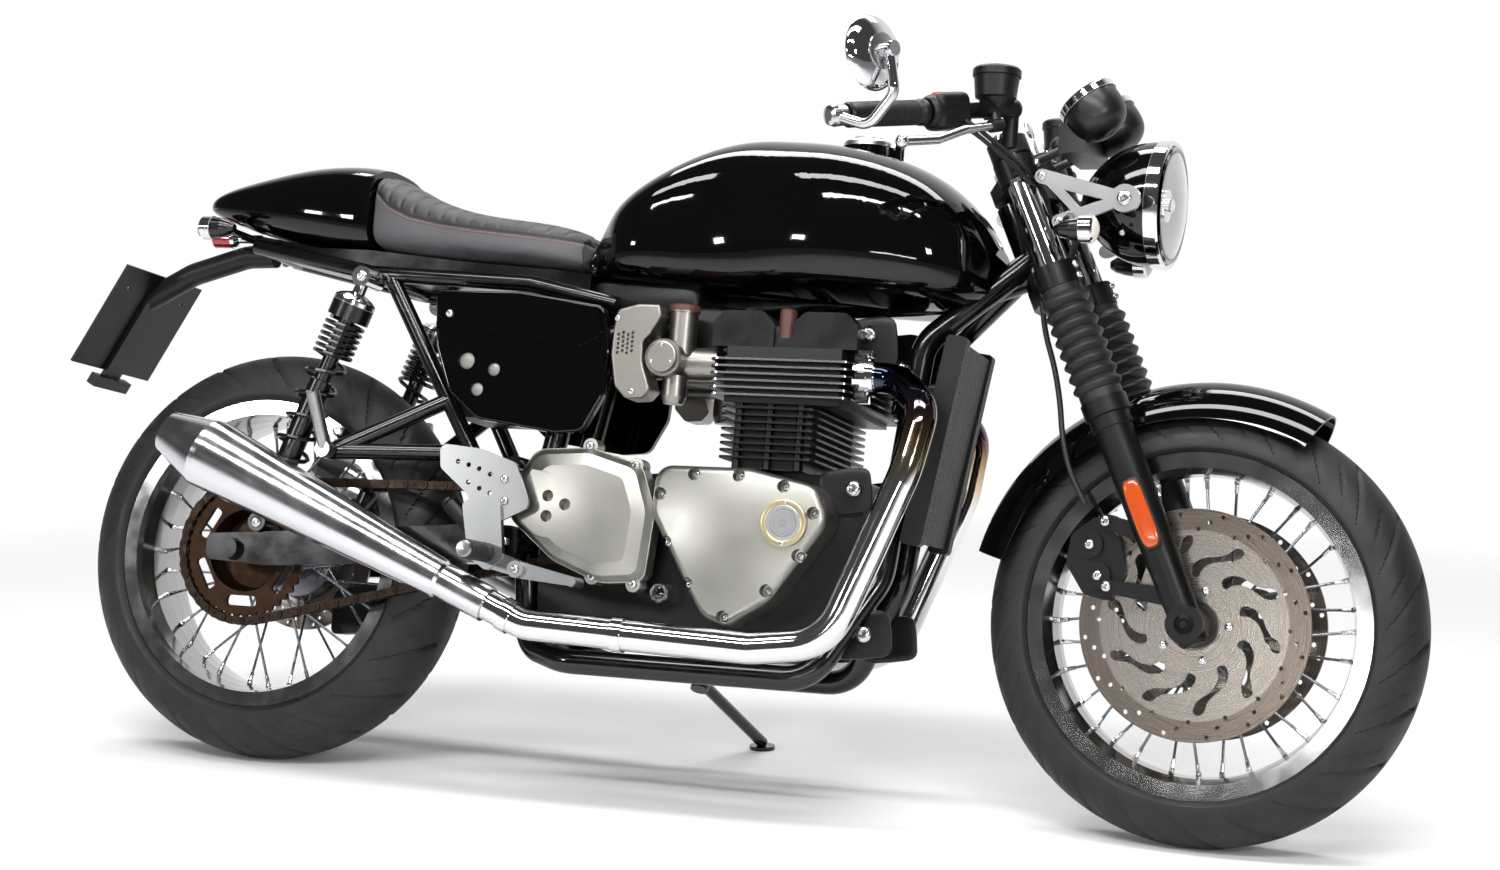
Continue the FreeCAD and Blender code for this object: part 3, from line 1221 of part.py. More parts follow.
def fork_lower():
    """A cast lower leg from the dust collar to the axle clamp."""
    y = -size("fork_offset")
    high = size("gaiter_bottom_rise") - 0.3
    start = on_fork(-26, y)
    length = (on_fork(high, y) - start).Length
    r = size("fork_lower_radius")
    leg = turned("LowerLeg", [(0, 0), (0, r - 10), (5, r - 5), (length * 0.55, r - 1), (length - 42, r),
                              (length - 40, r + 2.5), (length - 24, r + 2.5), (length - 22, r + 6),
                              (length, r + 6), (length, 0)], start, steer_line)
    boss = rod("AxleClamp", Vector(front_axle.x, y - 24, front_axle.z), Vector(front_axle.x, y + 24, front_axle.z),
               "25")
    face = size("front_disc_offset") + size("caliper_outer") + size("side_gap")
    lugs = [link("CaliperLugHigh", (-49, 111), (-118, 131), 14, 9, -face - 8, 8, front_axle),
            link("CaliperLugLow", (-31, 35), (-112, 44), 12, 9, -face - 8, 8, front_axle)]
    return fuse("ForkLower", [leg, boss] + lugs)


node("yokes", yokes(), "steering")
node("stanchions", pair("Stanchions", stanchion()), "steering")
node("gaiters", pair("Gaiters", gaiter()), "steering")


def fork_lowers():
    right = fork_lower()
    axle = rod("FrontAxle", Vector(front_axle.x, -126, front_axle.z), Vector(front_axle.x, 126, front_axle.z),
               "Sizes.front_axle_radius")
    return fuse("ForkLowers", [right, mirrored(right), axle])


node("fork_lowers", fork_lowers(), "steering")


def front_mudguard():
    """A rounded blade over the tyre with a stay to each fork leg."""
    inner = front_radius + 24
    stay_rise = (inner - 36) * math.cos(rake)
    half = size("front_tyre_width") / 2 + 8
    skin = 3

    def arch(shrink):
        """The arc across the blade, left to right."""
        middle = front_axle + Vector(0, 0, inner + 10 - shrink)
        ends = [front_axle + Vector(0, sign * (half - shrink), inner - 45) for sign in (-1, 1)]
        return ends[0], middle, ends[1]

    outer_arch, inner_arch = arch(0), arch(skin)
    edges = [Part.Arc(*outer_arch).toShape(), Part.LineSegment(outer_arch[2], inner_arch[2]).toShape(),
             Part.Arc(*reversed(inner_arch)).toShape(), Part.LineSegment(inner_arch[0], outer_arch[0]).toShape()]
    profile = raw("MudguardProfile", Part.Wire(edges))
    profile.Placement = Placement(Vector(), Rotation(Vector(0, 1, 0), -75), front_axle)
    blade = add("Part::Revolution", "MudguardBlade")
    blade.Source = profile
    blade.Axis = Vector(0, 1, 0)
    blade.Base = front_axle
    blade.Angle = 104
    blade.Solid = True
    stays = []
    for sign in (-1, 1):
        outer = size("fork_offset") - size("fork_lower_radius") - 2.5 - size("side_gap")
        stays.append(rod(f"MudguardStay{sign + 2}", on_fork(stay_rise, sign * outer),
                         on_fork(stay_rise, sign * (half - 2)), "7"))
    return fuse("FrontMudguard", [blade] + stays)


node("front_mudguard", front_mudguard(), "steering")


def front_caliper():
    """A caliper body with two piston housings and its slide pins, slotted for the disc."""
    y = -size("front_disc_offset")
    back = y - size("caliper_outer")
    body = plate("CaliperBody", [(-168, 112), (-132, 140), (-100, 108), (-92, 62), (-112, 24), (-147, 32), (-174, 72)],
                 back + 6, size("caliper_outer") + 14, [10, 12, 16, 12, 12, 12, 16], front_axle)
    housings = [rod(f"PistonHousing{k}", front_axle + Vector(x, back + 8, z), front_axle + Vector(x, back, z), "18")
                for k, (x, z) in enumerate([(-141, 99), (-128, 58)])]
    pins = [rod(f"SlidePin{k}", front_axle + Vector(x, back, z), front_axle + Vector(x, y + 18, z), "7")
            for k, (x, z) in enumerate([(-118, 134), (-112, 40)])]
    reach = size("front_disc_radius") + 4
    slot = spin("FrontCaliperSlot", [(y - 5, 0), (y - 5, reach), (y + 5, reach), (y + 5, 0)], front_axle)
    return cut("FrontCaliperWhole", fuse("FrontCaliper", [body] + housings + pins), [slot])


node("front_calipers", pair("FrontCalipers", front_caliper()), "steering")


# Headlamp, clocks and indicators
def headlamp_shell():
    """A deep bowl with a rolled rim."""
    r, depth = size("headlamp_radius"), size("headlamp_depth")
    start = from_axle(-size("headlamp_back"), 0, size("headlamp_rise"))
    outline = [(-8, 0), (-8, r - 8), (0, r - 8), (3, r - 5), (3, r - 2), (0, r), (-16, r), (-17, r - 2.5),
               (-50, r - 7), (-84, r - 24), (-108, r - 48), (-120, r - 68), (-depth, 0)]
    return turned("HeadlampShell", outline, start, Vector(1, 0, -0.05), 0, (7, 12))


def headlamp_lens():
    """A domed glass inside the rim."""
    r = size("headlamp_radius")
    start = from_axle(size("side_gap") - size("headlamp_back"), 0, size("headlamp_rise"))
    outline = [(-8, 0), (-8, r - 8.5), (3, r - 9), (10, r * 0.72), (15, r * 0.42), (17.5, 0)]
    return turned("HeadlampLens", outline, start, Vector(1, 0, -0.05), 0, (2, 5))


def headlamp_bracket():
    """A forged open arm bolted outside the fork tube, with its pivot bolt to the shell."""
    y = -size("fork_offset") - size("stanchion_radius") - 1.5
    high, low, pivot_at = (-225, 593), (-198, 531), (-109, 562)
    bars = [link("LampArmHigh", high, pivot_at, 10, 8.5, y, -7, front_axle),
            link("LampArmLow", low, pivot_at, 9.5, 7.5, y, -7, front_axle),
            link("LampArmStrut", (-213, 585), (-168, 541), 6.5, 6, y, -7, front_axle),
            link("LampArmEye", pivot_at, (-106, 562), 19, 18, y, -9, front_axle)]
    pivot = rod("HeadlampPivot", from_axle(-112, y, 562), from_axle(-112, -size("headlamp_radius") + 3.1, 562), "8")
    return fuse("HeadlampBracket", bars + [pivot])


node("headlamp_shell", headlamp_shell(), "steering")
node("headlamp_lens", headlamp_lens(), "steering")
node("headlamp_brackets", pair("HeadlampBrackets", headlamp_bracket()), "steering")


def clocks():
    """Two instruments side by side over the headlamp."""
    dials = []
    r = size("clock_radius")
    for sign in (-1, 1):
        start = from_axle(-191, sign * 52, 715)
        outline = [(-6, 0), (-6, r - 6), (0, r - 6), (2, r - 4), (2, r - 1), (0, r), (-9, r), (-10, r - 2),
                   (-32, r - 3), (-48, r - 9), (-57, r - 20), (-60, 0)]
        dials.append(turned(f"Clock{sign + 2}", outline, start, Vector(-0.62, 0, 0.78), 0, (7, 11)))
    bridge = block("ClockBridge", from_axle(-225, -60, 639), 40, 120, 40)
    ahead = Vector(math.cos(rake), 0, math.sin(rake))
    face = beside_fork(size("top_yoke_rise")) + steer_line * (size("top_yoke_thickness") / 2 + size("side_gap"))
    feet = []
    for sign in (-1, 1):
        foot = face + ahead * 28 + Vector(0, sign * 34, 0)
        feet.append(rod(f"ClockFoot{sign + 2}", foot, foot + steer_line * 16, "8"))
        feet.append(rod(f"ClockStay{sign + 2}", foot + steer_line * 10, from_axle(-215, sign * 34, 653), "6"))
    return fuse("Clocks", dials + [bridge] + feet)


node("clocks", clocks(), "steering")


def front_indicator():
    """A bullet lamp with a bright ring, on a short arm from the headlamp bracket."""
    lamp = turned("FrontIndicatorLamp", [(0, 0), (0, 6), (8, 11), (22, 15), (36, 17), (36, 19), (52, 19), (55, 16),
                                         (56, 0)], from_axle(-196, -152, 516), Vector(1, 0, 0))
    arm = rod("FrontIndicatorArm", from_axle(-181, -150, 530), from_axle(-181, -129.8, 538), "5")
    return fuse("FrontIndicator", [lamp, arm])


node("front_indicators", pair("FrontIndicators", front_indicator()), "steering")


# Handlebars and controls
bar_root = from_axle(-275, -124, 687)
bar_end = from_axle(-425, -370, 628)
bar_line = (bar_end - bar_root).normalize()
lever_root = from_axle(-280, -196, 648)
lever_bend = from_axle(-300, -242, 634)
lever_line = (lever_bend - lever_root).normalize()


def bar():
    """One clip-on: its clamp on the fork tube, the riser, bar, grip, switch block and reservoir."""
    clamp_at = on_fork(608, -size("fork_offset"))
    clamp = rod("BarClamp", clamp_at + steer_line * 16.5, clamp_at + steer_line * 42, "28")
    riser_foot = clamp_at + steer_line * 28 + Vector(6, -22, 0)
    riser = rod("BarRiser", riser_foot, bar_root, "11")
    knuckle = add("Part::Sphere", "BarKnuckle", Placement(bar_root, Rotation()), Radius="15")
    rail = rod("Bar", bar_root, bar_end, "Sizes.bar_radius")
    grip = turned("Grip", [(0, 0), (0, 15), (4, 17), (118, 15.5), (124, 18), (130, 18), (130, 0)],
                  bar_end - bar_line * 5, bar_line * -1)
    far = (bar_end - bar_root).Length
    switch_at = bar_root + bar_line * (far - 141)
    switch = turned("Switch", [(0, 0), (0, 19), (6, 22), (20, 23), (46, 23), (60, 19), (62, 0)], switch_at,
                    bar_line * -1, 0, (1, 5))
    cylinder_at = bar_root + bar_line * 78 + Vector(20, 0, 2)
    cylinder = rod("MasterCylinder", cylinder_at, cylinder_at - bar_line * 56, "12")
    band = rod("CylinderClamp", cylinder_at - bar_line * 28, bar_root + bar_line * 50, "14")
    reservoir = turned("Reservoir", [(-14, 0), (-14, 12), (0, 24), (2, 28), (30, 31), (31, 33), (40, 33), (43, 30),
                                     (43, 0)], cylinder_at - bar_line * 22 + Vector(0, 0, 12), Vector(0, 0, 1))
    pad = rod("PerchPad", lever_root - lever_line * size("side_gap"), lever_root - lever_line * 20, "9")
    perch = rod("Perch", lever_root - lever_line * 13, cylinder_at - bar_line * 18, "8")
    whole = fuse("BarWhole", [clamp, riser, knuckle, rail, grip, switch, cylinder, band, reservoir, pad, perch])
    tube_hole = rod("BarBore", on_fork(553, -size("fork_offset")), on_fork(703, -size("fork_offset")),
                    "Sizes.stanchion_radius")
    return cut("BarSide", whole, [tube_hole])


node("handlebars", pair("Handlebars", bar()), "steering")


def lever_and_mirror():
    """The lever ahead of the grip, and the mirror on the end of the bar."""
    ball_at = from_axle(-355, -333, 600)
    lever = tube("Lever", [lever_root, lever_bend, from_axle(-322, -285, 612), ball_at], "6", 40)
    ball = add("Part::Sphere", "LeverBall", Placement(ball_at, Rotation()), Radius="9")
    cap = turned("BarEndCap", [(0, 0), (0, 14), (14, 15), (22, 13), (24, 8), (24, 0)],
                 bar_end + bar_line * size("side_gap"), bar_line)
    disc_back = from_axle(-383, -398, 701)
    disc_line = Vector(0.92, -0.38, 0.05).normalize()
    arm = tube("MirrorArm", [bar_end + bar_line * 14, from_axle(-380, -392, 608), from_axle(-343, -404, 648),
                             disc_back + disc_line * 34], "7", 24)
    knuckle = rod("MirrorKnuckle", disc_back + disc_line * 16, disc_back + disc_line * 44, "10")
    disc = turned("MirrorDisc", [(0, 0), (0, 46), (3, 49), (6, 48.5), (12, 44), (18, 33), (22, 20), (24, 0)],
                  disc_back, disc_line, 0, (2, 7))
    return together("ControlSide", [fuse("LeverWhole", [lever, ball]),
                                    fuse("MirrorWhole", [cap, arm, disc, knuckle])])


node("levers_and_mirrors", pair("LeversAndMirrors", lever_and_mirror()), "steering")


def routed(name, points, radius):
    """A hose along its route, each bend as wide as its runs allow; prints the bends' radii."""
    bends = [0.0]
    for before, at, after in zip(points, points[1:], points[2:]):
        half_turn = (math.pi - (before - at).getAngle(after - at)) / 2
        shorter = min((before - at).Length, (after - at).Length)
        bends.append(0.45 * shorter / math.tan(half_turn))
    bends.append(0.0)
    print(name, "bend radii", [round(bend) for bend in bends[1:-1]])
    return tube(name, points, radius, bends)


def brake_hose():
    """A hose from below the yoke, down behind the fork leg to its caliper."""
    low = size("low_yoke_rise") - 28.2
    points = [from_axle(-234, -62, low), from_axle(-226, -64, low - 44), from_axle(-209, -68, low - 90),
              from_axle(-197, -73, low - 138), from_axle(-190, -78, low - 186), from_axle(-176, -81, low - 234),
              from_axle(-152, -83, low - 276)]
    return routed("BrakeHose", points, "4")


node("brake_hoses", pair("BrakeHoses", brake_hose()), "steering")


# Side stand, hinged under the left of the frame
def side_stand():
    """A leg from its hinge barrel to a round foot that lies flat on the ground."""
    up = Vector(0, -math.sin(lean), math.cos(lean))
    half = size("stand_barrel_half")
    barrel = rod("StandBarrel", stand_pivot - stand_axis * half, stand_pivot + stand_axis * half,
                 "Sizes.stand_tube_radius + 5")
    leg = rod("StandLeg", stand_pivot, stand_foot + up * 10, "Sizes.stand_tube_radius")
    pad = rod("StandPad", stand_foot, stand_foot + up * 6, "Sizes.stand_foot_radius")
    return fuse("SideStand", [leg, barrel, pad])


node("side_stand", side_stand(), "side_stand")

# Parking: steered, leaned to the left, and set down on both tyres
doc.recompute()


def steered():
    turn = Rotation(steer_line, size("steer_angle"))
    return Placement(Vector(), turn, steer_foot)


def lowest(place, wheel):
    """How low a leaning tyre's round crown comes."""
    centre, radius = (front_axle, front_radius) if wheel == "front" else (rear_axle, rear_radius)
    round_off = crown_radius(size(wheel + "_tyre_width"), size(wheel + "_tyre_crown"))
    axis = place.Rotation.multVec(Vector(0, 1, 0))
    middle = place.multVec(centre)
    return middle.z - (radius - round_off) * math.sqrt(1 - axis.z ** 2) - round_off


def parked():
    """The lean about the line of the tyres, then the small pitch that sets both tyres down."""
    lean = Rotation(Vector(1, 0, 0), -size("lean_angle"))
    place = Placement(Vector(), lean)
    for _ in range(4):
        rear = lowest(place, "rear")
        front = lowest(place.multiply(steered()), "front")
        pitch = Rotation(Vector(0, 1, 0), math.degrees((front - rear) / size("wheelbase")))
        place = Placement(Vector(0, 0, -rear), Rotation()).multiply(place)
        place = Placement(Vector(), pitch, rear_axle).multiply(place)
    rear = lowest(place, "rear")
    shift = Vector(-size("origin_forward"), -size("origin_left"), -rear)
    return Placement(shift, Rotation()).multiply(place)


chassis_place = parked()
places = {
    "chassis": chassis_place, "rear_wheel": chassis_place, "side_stand": chassis_place,
    "filler_lid": chassis_place,
    "steering": chassis_place.multiply(steered()), "front_wheel": chassis_place.multiply(steered()),
}
for name, (piece, body) in nodes.items():
    piece.Placement = places[body].multiply(piece.Placement)
doc.recompute()

# Every object is checked before anything is written
for piece in doc.Objects:
    if "Invalid" in piece.State or "Error" in piece.State:
        raise RuntimeError(f"{piece.Name} did not build")
for name, (piece, body) in nodes.items():
    shape = piece.Shape
    if shape.isNull() or not shape.isValid() or not shape.Solids:
        raise RuntimeError(f"{name} has no valid solid")
for name, (piece, body) in nodes.items():
    piece.Shape.exportStep(f"parts/{name}.step")
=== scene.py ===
import json
import math

import bmesh
import bpy
import numpy as np
from mathutils import Matrix, Vector
from mathutils.bvhtree import BVHTree


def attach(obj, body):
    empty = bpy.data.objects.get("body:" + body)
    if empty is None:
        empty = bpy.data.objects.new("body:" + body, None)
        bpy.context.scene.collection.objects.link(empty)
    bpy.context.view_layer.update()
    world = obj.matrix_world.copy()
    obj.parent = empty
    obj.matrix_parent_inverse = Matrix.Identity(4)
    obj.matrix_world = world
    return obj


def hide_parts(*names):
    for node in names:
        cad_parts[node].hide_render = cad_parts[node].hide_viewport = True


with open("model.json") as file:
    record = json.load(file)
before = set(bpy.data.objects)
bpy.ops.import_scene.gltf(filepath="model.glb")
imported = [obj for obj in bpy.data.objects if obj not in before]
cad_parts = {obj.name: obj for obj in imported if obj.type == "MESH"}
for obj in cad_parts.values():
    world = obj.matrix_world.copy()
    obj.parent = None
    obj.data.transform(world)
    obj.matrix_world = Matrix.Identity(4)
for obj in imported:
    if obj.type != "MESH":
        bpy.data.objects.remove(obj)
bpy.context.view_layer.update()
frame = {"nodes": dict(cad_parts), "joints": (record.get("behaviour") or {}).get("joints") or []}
nodes = frame["nodes"]
joints = {joint["name"]: joint for joint in frame["joints"]}


# Tyres
# Two tubeless road tyres of black moulded rubber, seated on the rims by their beads.
# The mould leaves slanted water grooves that start beside the crown and run out at the shoulders.
front_axle, rear_axle = np.array([1415.0, 0, 297]), np.array([0.0, 0, 310])
front_spin, rear_spin = joints["front_wheel_spin"], joints["rear_wheel_spin"]


def parked(points):
    """Upright millimetres as metres on the stand: the rear axle plus each axis times its share."""
    x, y, z = np.moveaxis((np.asarray(points, float) - rear_axle) / 1000, -1, 0)[..., None]
    side = np.array(rear_spin["axis"])
    ahead = np.array([-side[2], 0, side[0]]) / math.hypot(side[0], side[2])
    return np.array(rear_spin["pos_m"]) + x * ahead + y * side + z * np.cross(ahead, side)


def steered(points):
    """The same for the front end, then turned 5 degrees to the right about the steering axis."""
    pin, line = (np.array(joints["steering_turn"][key]) for key in ("pos_m", "axis"))
    turn = math.radians(-5)
    arm = parked(points) - pin
    along = (arm @ line)[..., None] * line
    return pin + along + (arm - along) * math.cos(turn) + np.cross(line, arm) * math.sin(turn)


place_of = {"steering": steered, "front_wheel": steered}


def grid(points, wrap_rows=False, wrap_columns=True):
    """A net of points as a skin: each face joins a point to its next row and next column."""
    rows, columns = points.shape[:2]
    row = np.arange(rows if wrap_rows else rows - 1)[:, None]
    column = np.arange(columns if wrap_columns else columns - 1)[None, :]
    next_row, next_column = (row + 1) % rows, (column + 1) % columns
    corners = [row * columns + column, row * columns + next_column,
               next_row * columns + next_column, next_row * columns + column]
    return points.reshape(-1, 3), np.stack(corners, -1).reshape(-1, 4).tolist()


def added(name, data):
    """A new object in the scene, at the origin."""
    made = bpy.data.objects.new(name, data)
    bpy.context.scene.collection.objects.link(made)
    return made


def piece(name, shapes, material, body, stands_for=(), crease=35):
    """Joins skins given in upright millimetres into one object that rides on a body."""
    shapes = shapes if isinstance(shapes, list) else [shapes]
    starts = np.cumsum([0] + [len(points) for points, skin in shapes])
    faces = [[start + i for i in face] for start, (points, skin) in zip(starts, shapes) for face in skin]
    points = place_of.get(body, parked)(np.concatenate([points for points, skin in shapes]))
    mesh = bpy.data.meshes.new(name)
    mesh.from_pydata(points.tolist(), [], faces)
    net = bmesh.new()
    net.from_mesh(mesh)
    bmesh.ops.remove_doubles(net, verts=net.verts, dist=1e-6)
    bmesh.ops.recalc_face_normals(net, faces=net.faces)
    net.to_mesh(mesh)
    net.free()
    mesh.shade_smooth()
    mesh.set_sharp_from_angle(angle=math.radians(crease))
    mesh.materials.append(material)
    made = added(name, mesh)
    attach(made, body)
    if stands_for:
        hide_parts(*stands_for)


def linear(code):
    """An sRGB hex colour as linear light: each channel over 255, then the sRGB curve undone."""
    channels = [int(code[i:i + 2], 16) / 255 for i in (1, 3, 5)]
    return [c / 12.92 if c <= 0.04045 else ((c + 0.055) / 1.055) ** 2.4 for c in channels] + [1.0]


def put(tree, kind, settings=(), inputs=()):
    """Adds one shader node with its settings, and its inputs as values or links."""
    node = tree.nodes.new("ShaderNode" + kind)
    for name, value in dict(settings).items():
        setattr(node, name, value)
    for name, value in dict(inputs).items():
        if isinstance(value, bpy.types.NodeSocket):
            tree.links.new(value, node.inputs[name])
        else:
            node.inputs[name].default_value = value
    return node


def feed(tree, **sockets):
    """Links what nodes work out to the shader's own sockets, such as Base_Color."""
    for name, value in sockets.items():
        tree.links.new(value, tree.nodes["Principled BSDF"].inputs[name.replace("_", " ")])


def finish(name, colour, metallic, roughness, **sockets):
    """A material of one finish; the sockets are the shader's own, such as Coat_Weight."""
    material = bpy.data.materials.new(name)
    material.use_nodes = True
    sockets.update(Base_Color=linear(colour), Metallic=metallic, Roughness=roughness)
    for socket, value in sockets.items():
        material.node_tree.nodes["Principled BSDF"].inputs[socket.replace("_", " ")].default_value = value
    return material


def speckle(tree, size_mm, detail=3.0):
    """Noise from 0 to 1 over the piece's own metres, whose grains are about the size given."""
    at = put(tree, "TexCoord").outputs["Object"]
    return put(tree, "TexNoise", inputs={
        "Vector": at, "Scale": 1000 / size_mm, "Detail": detail}).outputs["Fac"]


def between(tree, fac, low, high, start=0.3, end=0.7):
    """A number that goes from low to high as fac goes from start to end."""
    return put(tree, "MapRange", inputs={
        "Value": fac, "From Min": start, "From Max": end, "To Min": low, "To Max": high}).outputs["Result"]


def mixed(tree, fac, first, second):
    """A colour between two, each a hex code, a linear colour or a socket."""
    first, second = (linear(colour) if isinstance(colour, str) else colour for colour in (first, second))
    return put(tree, "Mix", {"data_type": "RGBA"}, {0: fac, 6: first, 7: second}).outputs[2]


def textured(material, grain_mm, depth_mm, rough_low, rough_high, patch_mm=40):
    """Uneven gloss in patches, and a fine grain as bump."""
    tree = material.node_tree
    bump = put(tree, "Bump", inputs={"Height": speckle(tree, grain_mm, 4.0), "Distance": depth_mm / 1000})
    feed(tree, Roughness=between(tree, speckle(tree, patch_mm), rough_low, rough_high),
         Normal=bump.outputs["Normal"])
    return material


def painted_on(material, *names):
    """Gives CAD nodes a material through their own slots."""
    for name in names:
        for slot in nodes[name].material_slots:
            slot.link = "OBJECT"
            slot.material = material


def turns(count):
    """Angles spaced evenly round a circle, as a column."""
    return np.linspace(0, 2 * math.pi, count, endpoint=False)[:, None]


def tyre_skin(centre, radius, width, crown, rim_half, pitch):
    """A round crown y = R sin a, out = radius - R (1 - cos a), walls bulged down to the bead, and grooves.

    A groove is as deep as a smooth step of its distance from a slanted line that repeats round the tread.
    """
    crown_radius = ((width / 2) ** 2 + crown ** 2) / (2 * crown)
    widest = math.asin(min(1.0, width / 2 / crown_radius))
    across = np.linspace(-1, 1, 57)
    share = np.linspace(0, 1, 9)[1:]
    bead_out, bead_foot, bead_in = 233, 221, 5.5
    wall_y = width / 2 + (rim_half + 1 - width / 2) * share ** 1.6
    wall_y = np.append(wall_y, [rim_half - bead_in, rim_half - bead_in])
    wall_out = np.append((radius - crown) + (bead_out - radius + crown) * share, [bead_out, bead_foot])
    y = np.concatenate([-wall_y[::-1], crown_radius * np.sin(across * widest), wall_y])
    out = radius - crown_radius * (1 - np.cos(across * widest))
    out = np.concatenate([wall_out[::-1], out, wall_out])
    level = np.pad(np.abs(across), len(wall_y), constant_values=2.0)
    hand = np.pad(np.sign(across), len(wall_y), mode="edge")
    repeats = round(2 * math.pi * radius / pitch)
    turn = turns(32 * repeats)
    phase = turn * repeats / (2 * math.pi) + np.where(hand > 0, 0.5, 0.0) - 1.1 * level ** 1.5
    long_cut = np.clip((4.6 - np.abs((phase % 1.0) - 0.5) * pitch) / 1.6, 0, 1)
    short_cut = np.clip((2.6 - np.abs(((phase + 0.45) % 1.0) - 0.5) * pitch) / 1.4, 0, 1)
    depth = 4.5 * long_cut * ((level > 0.1) & (level < 0.86)) + 3 * short_cut * ((level > 0.4) & (level < 0.9))
    ring = out - depth
    points = np.stack([ring * np.sin(turn), y + 0 * turn, ring * np.cos(turn)], -1)
    return grid(centre + points, True, False)


tyre_rubber = textured(finish("moulded tyre rubber", "#0f0f10", 0, 0.75), 1.5, 0.12, 0.5, 0.72)
piece("front_tread", tyre_skin(front_axle, 297, 120, 58, 51.5, 84), tyre_rubber, "front_wheel", ("front_tyre",))
piece("rear_tread", tyre_skin(rear_axle, 310, 160, 68, 70, 92), tyre_rubber, "rear_wheel", ("rear_tyre",))


# Rims, hubs and spokes
# Rolled aluminium rims buffed to a mirror, laced to turned hubs with steel spokes.
# Each spoke is drawn up by a plated brass nipple in the rim's well.
def spun(outline, start, way, steps=32):
    """A profile of (along, out) turned about a line: start + along * way + out * (cos t * u + sin t * v)."""
    way = np.asarray(way, float) / np.linalg.norm(way)
    spare = np.array([0.0, 1, 0]) if abs(way[1]) < 0.9 else np.array([1.0, 0, 0])
    u = np.cross(way, spare)
    u /= np.linalg.norm(u)
    v = np.cross(way, u)
    turn = turns(steps)
    along, out = np.asarray(outline, float).T[..., None, None]
    return grid(np.asarray(start, float) + along * way + out * (np.cos(turn) * u + np.sin(turn) * v))


def nipples(centre, flange_half, flange, spokes=32, well=201.5):
    """A tapered cap at the rim's end of each spoke, pointing at its hub flange."""
    caps = []
    for i in range(spokes):
        side = 1 if i % 2 else -1
        turn = 2 * math.pi * i / spokes
        far = turn + math.radians(24) * (1 if i % 4 < 2 else -1)
        head = centre + (flange * math.sin(turn), side * flange_half, flange * math.cos(turn))
        foot = centre + (well * math.sin(far), side * 5, well * math.cos(far))
        caps.append(spun([(0, 0), (0, 4.2), (4, 4), (5, 3.2), (17, 2.9), (18, 0)], foot, head - foot, 8))
    return caps


polished_rim = textured(finish("buffed aluminium rim", "#a6a6a6", 1, 0.14), 3, 0.012, 0.1, 0.17)
hub_steel = textured(finish("turned steel hub", "#77797d", 1, 0.3), 2, 0.03, 0.2, 0.36)
plated = textured(finish("zinc plated fastener", "#c4c5c6", 1, 0.22), 1.5, 0.03, 0.16, 0.3, 8)
painted_on(polished_rim, "front_rim", "rear_rim")
painted_on(hub_steel, "front_hub", "rear_hub")
piece("front_nipples", nipples(front_axle, 42, 47), plated, "front_wheel")
piece("rear_nipples", nipples(rear_axle, 52, 55), plated, "rear_wheel")


# Brake discs
# Stainless discs, drilled and with scalloped windows, ground flat with a light circular grain.
# The pads darken the braking band against the paler arms.
def heads(places, way, radius, height, sides=24):
    """Button heads with a socket at each place, facing the way."""
    outline = [(-2, 0), (-2, radius), (height * 0.45, radius), (height * 0.8, radius * 0.85),
               (height, radius * 0.55), (height, radius * 0.4), (height * 0.3, radius * 0.4), (height * 0.3, 0)]
    return [spun(outline, place, way, sides) for place in places]


def ring_of(centre, side, radius, count, start=0.0):
    """Places spaced evenly round a circle across the Y axis."""
    turn = np.arange(count) * 2 * math.pi / count + start
    return centre + np.stack([radius * np.sin(turn), np.full(count, side), radius * np.cos(turn)], -1)


def ground_disc(name, centre, way, band_mm, arms="#8d8780", band="#6f665f"):
    """Ground metal: rings of fine grain about an axle, and another colour outside the radius of the band."""
    material = finish(name, "#8f8e8b", 1, 0.3)
    tree = material.node_tree
    at = put(tree, "TexCoord").outputs["Object"]
    arm = put(tree, "VectorMath", {"operation": "SUBTRACT"}, {0: at, 1: tuple(centre)}).outputs[0]
    square = put(tree, "VectorMath", {"operation": "CROSS_PRODUCT"}, {0: arm, 1: tuple(way)}).outputs[0]
    out = put(tree, "VectorMath", {"operation": "LENGTH"}, {0: square}).outputs["Value"]
    worn = between(tree, out, 0.0, 1.0, band_mm / 1000 - 0.001, band_mm / 1000 + 0.001)
    stretched = put(tree, "Math", {"operation": "MULTIPLY"}, {0: out, 1: 900.0}).outputs[0]
    rings = put(tree, "TexNoise", {"noise_dimensions": "1D"},
                {"W": stretched, "Scale": 1.0, "Detail": 3.0}).outputs["Fac"]
    bump = put(tree, "Bump", inputs={"Height": rings, "Distance": 0.00004}).outputs["Normal"]
    feed(tree, Base_Color=mixed(tree, worn, arms, band), Roughness=between(tree, rings, 0.2, 0.38), Normal=bump)
    return material


painted_on(ground_disc("ground stainless front disc", front_spin["pos_m"], front_spin["axis"], 127),
           "front_discs")
painted_on(ground_disc("ground stainless rear disc", rear_spin["pos_m"], rear_spin["axis"], 85), "rear_disc")
for side in (-1, 1):
    bolts = heads(ring_of(front_axle, side * 66.5, 48, 5, 0.3), (0, side, 0), 6, 4)
    piece(f"front_disc_bolts_{side + 2}", bolts, plated, "front_wheel")
piece("rear_disc_bolts", heads(ring_of(rear_axle, 90.5, 56, 6, 0.2), (0, 1, 0), 5, 3.5), plated, "rear_wheel")


